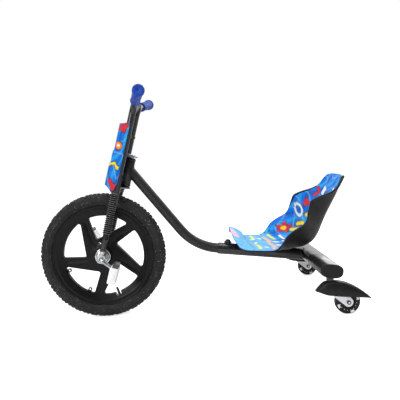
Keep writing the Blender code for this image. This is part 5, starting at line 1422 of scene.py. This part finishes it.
def build_knob():
    """A six-lobed knob that narrows to its top, on a short screw."""
    lobes, outline = 6, []
    for turn in turns(96):
        radius = 0.0128 - 0.001 * (0.5 - 0.5 * math.cos(lobes * turn)) ** 1.6
        outline.append((radius * math.cos(turn), radius * math.sin(turn)))
    levels = (
        (0.92, 0.0202), (0.99, 0.0205), (1.0, 0.0212), (0.99, 0.0222), (0.94, 0.0234), (0.84, 0.0248),
        (0.72, 0.0262), (0.62, 0.0278), (0.56, 0.0296), (0.5, 0.0308), (0.4, 0.0312), (0.26, 0.0308),
    )
    screw = ((0, 0.0163), (0.0033, 0.0163), (0.0036, 0.0167), (0.0036, 0.024), (0, 0.024))
    bm = bmesh.new()
    rings = [([(x * size, y * size) for x, y in outline], height) for size, height in levels]
    add_stack(bm, rings, knob_matrix())
    add_turned(bm, screw, knob_matrix(), 32)
    add_piece("clamp_knob", bm, "black_plastic", "lock_knob", ("lock_knob",))


# ---------------------------------------------------------------- seat

# Printed surface from the front lip, along the pan and up the back.
# Each row: middle of the seat (behind, up), start of the side wall (behind, up, out), rim (behind, up, out).
SEAT_ROWS = (
    ((0.4178, 0.2527), (0.4210, 0.2235, 0.075), (0.4340, 0.2070, 0.142)),
    ((0.4400, 0.2435), (0.4370, 0.2120, 0.077), (0.4480, 0.2000, 0.148)),
    ((0.4590, 0.2270), (0.4560, 0.2030, 0.080), (0.4660, 0.1960, 0.150)),
    ((0.4720, 0.1970), (0.4830, 0.1950, 0.088), (0.4920, 0.1925, 0.150)),
    ((0.5050, 0.1895), (0.5110, 0.1885, 0.095), (0.5170, 0.1895, 0.150)),
    ((0.5420, 0.1830), (0.5420, 0.1825, 0.100), (0.5400, 0.1900, 0.150)),
    ((0.5820, 0.1775), (0.5780, 0.1785, 0.105), (0.5600, 0.2050, 0.148)),
    ((0.6160, 0.1765), (0.6110, 0.1785, 0.105), (0.5780, 0.2270, 0.145)),
    ((0.6430, 0.1795), (0.6450, 0.1815, 0.102), (0.6040, 0.2430, 0.142)),
    ((0.6630, 0.1890), (0.6700, 0.1920, 0.097), (0.6340, 0.2580, 0.138)),
    ((0.6800, 0.2080), (0.6880, 0.2100, 0.092), (0.6480, 0.2810, 0.131)),
    ((0.6960, 0.2350), (0.7035, 0.2360, 0.088), (0.6560, 0.3050, 0.124)),
    ((0.7130, 0.2640), (0.7200, 0.2650, 0.085), (0.6650, 0.3225, 0.117)),
    ((0.7300, 0.2935), (0.7365, 0.2940, 0.083), (0.6900, 0.3320, 0.112)),
    ((0.7470, 0.3230), (0.7520, 0.3235, 0.080), (0.7270, 0.3400, 0.106)),
    ((0.7640, 0.3525), (0.7660, 0.3530, 0.075), (0.7520, 0.3540, 0.096)),
    ((0.7770, 0.3750), (0.7770, 0.3750, 0.067), (0.7655, 0.3715, 0.088)),
    ((0.7850, 0.3885), (0.7850, 0.3880, 0.055), (0.7755, 0.3835, 0.076)),
)
LINER_THICKNESS = 0.0012


def seat_grid(per_row, half_columns, extra=0.0):
    """Rows of points over the printed surface, or past its rim by extra."""
    flat = [(m[0], 0.0, m[1], f[0], f[2], f[1], r[0], r[2], r[1]) for m, f, r in SEAT_ROWS]
    rows = smooth_rows(flat, per_row)
    parts = np.linspace(0.0, 1.0, half_columns + 1)[:, None]
    rest = 1 - parts
    grid = []
    for row in rows:
        middle, foot, rim = row[0:3], row[3:6], row[6:9]
        right = middle * rest**3 + foot * (3 * rest**2 * parts + 3 * rest * parts**2) + rim * parts**3
        if extra:
            past = right[-1] - right[-2]
            right = np.concatenate([right, [right[-1] + past / np.linalg.norm(past) * extra]])
        left = (right[1:] * (1, -1, 1))[::-1]
        grid.append(np.concatenate([left, right]))
    grid = np.array(grid)
    if extra:
        first, last = grid[0] - grid[1], grid[-1] - grid[-2]
        first *= extra / np.linalg.norm(first, axis=1)[:, None]
        last *= extra / np.linalg.norm(last, axis=1)[:, None]
        grid = np.concatenate([[grid[0] + first], grid, [grid[-1] + last]])
    grid[:, :, 0] += AXLE_X
    return grid


def seat_height(behind):
    middles = [row[0] for row in SEAT_ROWS]
    return float(np.interp(behind, [point[0] for point in middles], [point[1] for point in middles]))


def seat_matrix(behind):
    fall = seat_height(behind - 0.017) - seat_height(behind + 0.017)
    slope = math.atan2(fall, 0.034)
    return GROUND @ Matrix.Translation((behind, 0.0, seat_height(behind))) @ Matrix.Rotation(slope, 4, "Y")


def build_seat():
    """The printed liner, the moulded shell under it, and the four bolts."""
    grid = seat_grid(12, 40)
    mesh = sheet_mesh("printed_liner", grid, 0.0, LINER_THICKNESS, (0.0, 0.0, 1.0), 0.0004)
    ink_mesh(mesh, grid, seat_print)
    add_piece("printed_liner", mesh, "printed_sheet", "rear_frame", ("seat_liner",), 60)

    grid = seat_grid(6, 28, 0.0003)[5:]
    mesh = sheet_mesh("moulded_shell", grid, LINER_THICKNESS + 0.0003, 0.004, (0.0, 0.0, 1.0), 0.0006)
    bm = bmesh.new()
    bm.from_mesh(mesh)
    add_rolled_edge(bm)
    add_piece("moulded_shell", bm, "black_plastic", "rear_frame", ("seat_shell",), 60)
    screw = screw_section(0.0065, 0.0028, 0.0028, 0.001, -0.0124)
    for place, behind in SADDLES:
        for name, side in SIDES:
            shape = turned(screw, seat_matrix(behind) @ Matrix.Translation((0.0, side * 0.03, 0.0)), 48)
            nodes = (f"seat_bolt_{place}_{name}",)
            add_piece(f"seat_fixing_{place}_{name}", shape, "zinc_steel", "rear_frame", nodes)


def add_rolled_edge(bm):
    """The shell's side edges are turned back behind the rim of the backrest, widest at its top corners."""
    rows = seat_grid(6, 28)[60:]
    for column in (0, -1):
        path, radii = [], []
        for index, row in enumerate(rows):
            part = index / (len(rows) - 1)
            back = 0.0045 + 0.0062 * max(0.0, part - 0.6) / 0.4
            fade = min(1.0, 6 * part)
            path.append(Vector(row[column]) + Vector((0.72, 0.0, -0.7 + 0.45 * part)) * back * fade)
            radii.append(0.0036 * (0.3 + 0.7 * fade))
        path.append(path[-1] + (path[-1] - path[-2]).normalized() * 0.004)
        radii.append(0.0034)
        add_swept(bm, path, radii, 14)


# ---------------------------------------------------------------- casters

CASTER_TRAIL = 0.0445
CASTER_RADIUS = 0.036
CASTER_HALF_WIDTH = 0.0115
# A fender's rows, front to back: (back from the kingpin, crest's height, edges' height, half width).
FENDER_ROWS = (
    (-0.0445, 0.0770, 0.0750, 0.0050), (-0.0355, 0.0850, 0.0725, 0.0125), (-0.0235, 0.0950, 0.0675, 0.0175),
    (-0.0110, 0.1003, 0.0635, 0.0205), (0.0140, 0.1000, 0.0590, 0.0220), (0.0380, 0.0945, 0.0550, 0.0225),
    (0.0620, 0.0830, 0.0510, 0.0216), (0.0835, 0.0680, 0.0472, 0.0190), (0.1010, 0.0530, 0.0430, 0.0145),
    (0.1135, 0.0395, 0.0380, 0.0070),
)


def build_caster(name, side):
    kingpin = kingpin_matrix(side)
    axle = kingpin @ Matrix.Translation((CASTER_TRAIL, 0.0, CASTER_RADIUS))
    body = f"caster_{name}"
    build_caster_fork(name, kingpin, axle, body)
    pin = (
        (0, 0.0837), (0.006, 0.0837), (0.007, 0.0847), (0.007, 0.0894), (0.004, 0.0894), (0.004, 0.145),
        (0, 0.145),
    )
    add_piece(f"swivel_pin_{name}", turned(pin, kingpin, 40), "zinc_steel", body, (f"kingpin_{name}",))
    build_fender(name, kingpin, body)

    bolt, tips = turned(rod(0.0031, -0.0148, 0.0148), axle @ UPRIGHT, 32), bmesh.new()
    nut = (
        (0.0028, 0.0147), (0.0058, 0.0147), (0.006, 0.0152), (0.006, 0.0182), (0.0055, 0.019),
        (0.0036, 0.019), (0.003, 0.0184),
    )
    tip = ((0, 0.015), (0.0027, 0.015), (0.0027, 0.0196), (0.0022, 0.0201), (0, 0.0202))
    for arm in (-1, 1):
        add_turned(bolt, nut, axle @ outwards(arm), 48)
        add_turned(tips, tip, axle @ outwards(arm), 32)
    add_piece(f"axle_bolt_{name}", bolt, "black_plastic", body, (f"caster_bolt_{name}",), 30)
    add_piece(f"axle_tips_{name}", tips, "zinc_steel", body)
    build_small_wheel(name, axle)


def build_caster_fork(name, kingpin, axle, body):
    """Two pressed arms and the bridge between them."""
    points = circle((CASTER_TRAIL, CASTER_RADIUS), 0.0135, 64)
    for x, z in ((-0.0135, 0.0755), (-0.0135, 0.085), (-0.009, 0.091), (0.0165, 0.091)):
        points += circle((x, z), 0.0015, 16)
    outline = [points[index] for index in convex_hull_2d(points)]
    bm, bridge = bmesh.new(), bmesh.new()
    for arm in (-1, 1):
        add_prism(bm, outline, 0.0122, 0.0145, kingpin @ outwards(arm), 0.0005)
    add_block(bridge, (0.026, 0.0264, 0.0026), kingpin @ Matrix.Translation((0.004, 0.0, 0.0911)), 0.0004, 1)
    bm = carved(bm, bridge, "UNION")
    tools = turned(rod(0.0043, 0.085, 0.11), kingpin, 32)
    add_turned(tools, rod(0.0034, -0.03, 0.03), axle @ UPRIGHT, 32)
    bm = carved(bm, tools)
    add_piece(f"pressed_fork_{name}", bm, "zinc_steel", body, (f"caster_fork_{name}",), 30)


def build_small_wheel(name, axle):
    wheel, half = f"caster_wheel_{name}", CASTER_HALF_WIDTH
    tyre = (
        (0.0214, half - 0.0004), (0.0218, half), (0.0296, half), (0.0312, half - 0.0003),
        (0.033, half - 0.001), (0.0345, half - 0.0022), (0.0354, half - 0.0038), (0.0359, half - 0.0058),
        (0.036, 0.003), (0.0356, 0.0026), (0.0356, 0.0012), (0.036, 0.0008),
    )
    shape = turned(mirrored(tyre), axle @ UPRIGHT, 96)
    add_piece(f"small_tyre_{name}", shape, "caster_rubber", wheel, (f"caster_tyre_{name}",))
    build_tyre_inserts(name, axle, half)
    core = (
        (0.0034, half), (0.0104, half), (0.011, half - 0.0005), (0.0118, half - 0.004),
        (0.018, half - 0.0042), (0.019, half - 0.0016), (0.0212, half - 0.0014),
    )
    bm = turned(mirrored(core), axle @ UPRIGHT, 96)
    for arm in (-1, 1):
        for rib in turns(6):
            spot = axle @ outwards(arm) @ Matrix.Rotation(rib, 4, "Z")
            spot = spot @ Matrix.Translation((0.0149, 0.0, half - 0.004))
            add_block(bm, (0.0086, 0.0018, 0.004), spot, 0.0005, 2)
    add_piece(f"small_hub_{name}", bm, "black_plastic", wheel, (f"caster_hub_{name}",))


def build_tyre_inserts(name, axle, half):
    """Pale chunks and dots let into both faces of the small tyre."""
    inner, outer, arc, steps = 0.0262, 0.0322, 0.38, 6
    button = (
        (0, half - 0.002), (0.001, half - 0.002), (0.001, half + 0.0002), (0.0007, half + 0.0004),
        (0, half + 0.0005),
    )
    bm = bmesh.new()
    for arm in (-1, 1):
        face = axle @ outwards(arm)
        for chunk in range(4):
            start = math.radians(19 + 90 * chunk) - arc / 2
            spread_out = [start + arc * step / steps for step in range(steps + 1)]
            outline = [(outer * math.cos(turn), outer * math.sin(turn)) for turn in spread_out]
            outline += [(inner * math.cos(turn), inner * math.sin(turn)) for turn in reversed(spread_out)]
            add_prism(bm, outline, half - 0.003, half + 0.0005, face, 0.0004)
        for dot in range(16):
            turn = math.tau * (dot + 0.5) / 16
            spot = face @ Matrix.Translation((0.0241 * math.cos(turn), 0.0241 * math.sin(turn), 0.0))
            add_turned(bm, button, spot, 16)
    add_piece(f"tyre_inserts_{name}", bm, "pale_plastic", f"caster_wheel_{name}")


def build_fender(name, kingpin, body):
    """A mudguard pressed from one sheet, with an arched section all along."""
    half_columns = 14
    grid = []
    for back, crest, edge, half_width in smooth_rows(FENDER_ROWS, 5):
        row = []
        for column in range(-half_columns, half_columns + 1):
            part = column / half_columns
            angle = math.copysign(abs(part) ** 1.3, part) * math.pi / 2
            out = half_width * math.copysign(abs(math.sin(angle)) ** 0.6, angle)
            row.append((back, out, edge + (crest - edge) * max(math.cos(angle), 0.0) ** 0.55))
        grid.append(row)
    mesh = sheet_mesh("fender", np.array(grid), 0.0, 0.0022, (0.0, 0.0, 1.0), 0.0004)
    mesh.transform(kingpin)
    add_piece(f"mudguard_{name}", mesh, "black_plastic", body, (f"caster_fender_{name}",), 60)


# ---------------------------------------------------------------- put together

def build_all():
    for build in (
        build_tyre, build_wheel, build_tube_and_valve, build_hub_plates, build_crank, build_crowns,
        build_steerer, build_shield,
    ):
        build()
    for name, side in SIDES:
        for build in (
            build_pedal, build_slider, build_bellows, build_spring, build_fork_tube, build_grip, build_caster,
        ):
            build(name, side)
    for build in (build_head, build_main_tube, build_sleeve, build_crossbar, build_knob, build_seat):
        build()


# ---------------------------------------------------------------- room, light and camera

def build_floor():
    """A white floor that also glows for the camera, so that it runs into the backdrop."""
    look = Look("floor")
    white = look.node("ShaderNodeBsdfDiffuse", {"Color": (0.92, 0.92, 0.92, 1.0)})
    glow = look.node("ShaderNodeEmission", {"Color": (1.0, 1.0, 1.0, 1.0), "Strength": 0.68})
    seen = look.node("ShaderNodeLightPath").outputs["Is Camera Ray"]
    dark = look.node("ShaderNodeEmission", {"Strength": 0.0})
    glow = look.node("ShaderNodeMixShader", {0: seen, 1: dark.outputs[0], 2: glow.outputs[0]})
    both = look.node("ShaderNodeAddShader", {0: white.outputs[0], 1: glow.outputs[0]})
    look.tree.links.new(both.outputs[0], look.tree.nodes["Material Output"].inputs["Surface"])
    size = 12.0
    mesh = bpy.data.meshes.new("floor")
    corners = [(-size, -size, 0.0), (size, -size, 0.0), (size, size, 0.0), (-size, size, 0.0)]
    mesh.from_pydata(corners, [], [(0, 1, 2, 3)])
    mesh.materials.append(look.material)
    floor = bpy.data.objects.new("floor", mesh)
    bpy.context.scene.collection.objects.link(floor)


def build_world(strength, backdrop):
    """A light room, darker in front and brighter on the far side. The camera sees plain white."""
    world = bpy.data.worlds.new("room")
    world.use_nodes = True
    tree = world.node_tree
    direction = add_node(tree, "ShaderNodeTexCoord").outputs["Generated"]
    across = add_node(tree, "ShaderNodeSeparateXYZ", {0: direction}).outputs["Y"]
    brighter = spread(tree, across, 0.25, 0.95, strength, backdrop)
    darker = spread(tree, across, -0.95, -0.15, 0.35, 1.0)
    level = add_node(tree, "ShaderNodeMath", {0: brighter, 1: darker}, operation="MULTIPLY")
    room = tree.nodes["Background"]
    room.inputs["Color"].default_value = (1.0, 1.0, 1.0, 1.0)
    tree.links.new(level.outputs[0], room.inputs["Strength"])
    white = add_node(tree, "ShaderNodeBackground", {"Color": (1.0, 1.0, 1.0, 1.0)})
    seen = add_node(tree, "ShaderNodeLightPath").outputs["Is Camera Ray"]
    mixed = add_node(tree, "ShaderNodeMixShader", {0: seen, 1: room.outputs[0], 2: white.outputs[0]})
    tree.links.new(mixed.outputs[0], tree.nodes["World Output"].inputs["Surface"])
    bpy.context.scene.world = world


def add_lamp(name, place, aim, size, power):
    light = bpy.data.lights.new(name, "AREA")
    light.shape = "RECTANGLE"
    light.size, light.size_y = size
    light.energy = power
    lamp = bpy.data.objects.new(name, light)
    lamp.location = place
    lamp.rotation_euler = (Vector(aim) - Vector(place)).to_track_quat("-Z", "Y").to_euler()
    bpy.context.scene.collection.objects.link(lamp)


def build_lights():
    build_world(0.42, 1.0)
    add_lamp("top", (0.1, -0.3, 2.2), (0.0, 0.0, 0.2), (1.8, 1.6), 30)
    add_lamp("front_left", (-1.6, -2.0, 1.4), (0.0, 0.0, 0.3), (1.2, 1.4), 34)
    add_lamp("right", (1.5, 1.6, 1.5), (0.1, 0.0, 0.3), (1.0, 1.6), 16)


CAMERA_PLACE = Vector((0.29694 + AXLE_X, -1.59124, 0.49915))
CAMERA_TURN, CAMERA_FALL, CAMERA_ROLL = math.radians(-1.255), math.radians(5.377), math.radians(-5.961)
FOCAL_SHARE = 488.86 / 400
SENSOR_WIDTH = 36.0


def build_camera():
    """The camera that took the photo: its focal length is given as a share of the picture's width."""
    turn, fall, roll = CAMERA_TURN, CAMERA_FALL, CAMERA_ROLL
    ahead = Vector((-math.sin(turn) * math.cos(fall), math.cos(turn) * math.cos(fall), -math.sin(fall)))
    right = Vector((math.cos(turn), math.sin(turn), 0.0))
    up = right.cross(ahead)
    rolled_right = math.cos(roll) * right + math.sin(roll) * up
    rolled_up = -math.sin(roll) * right + math.cos(roll) * up
    matrix = Matrix((rolled_right, rolled_up, -ahead)).transposed().to_4x4()
    matrix.translation = CAMERA_PLACE
    data = bpy.data.cameras.new("camera")
    data.sensor_width = SENSOR_WIDTH
    data.lens = FOCAL_SHARE * SENSOR_WIDTH
    camera = bpy.data.objects.new("camera", data)
    camera.matrix_world = matrix
    bpy.context.scene.collection.objects.link(camera)
    bpy.context.scene.camera = camera


build_all()
build_floor()
build_lights()
build_camera()
bpy.context.scene.view_settings.view_transform = "Standard"
bpy.context.view_layer.update()
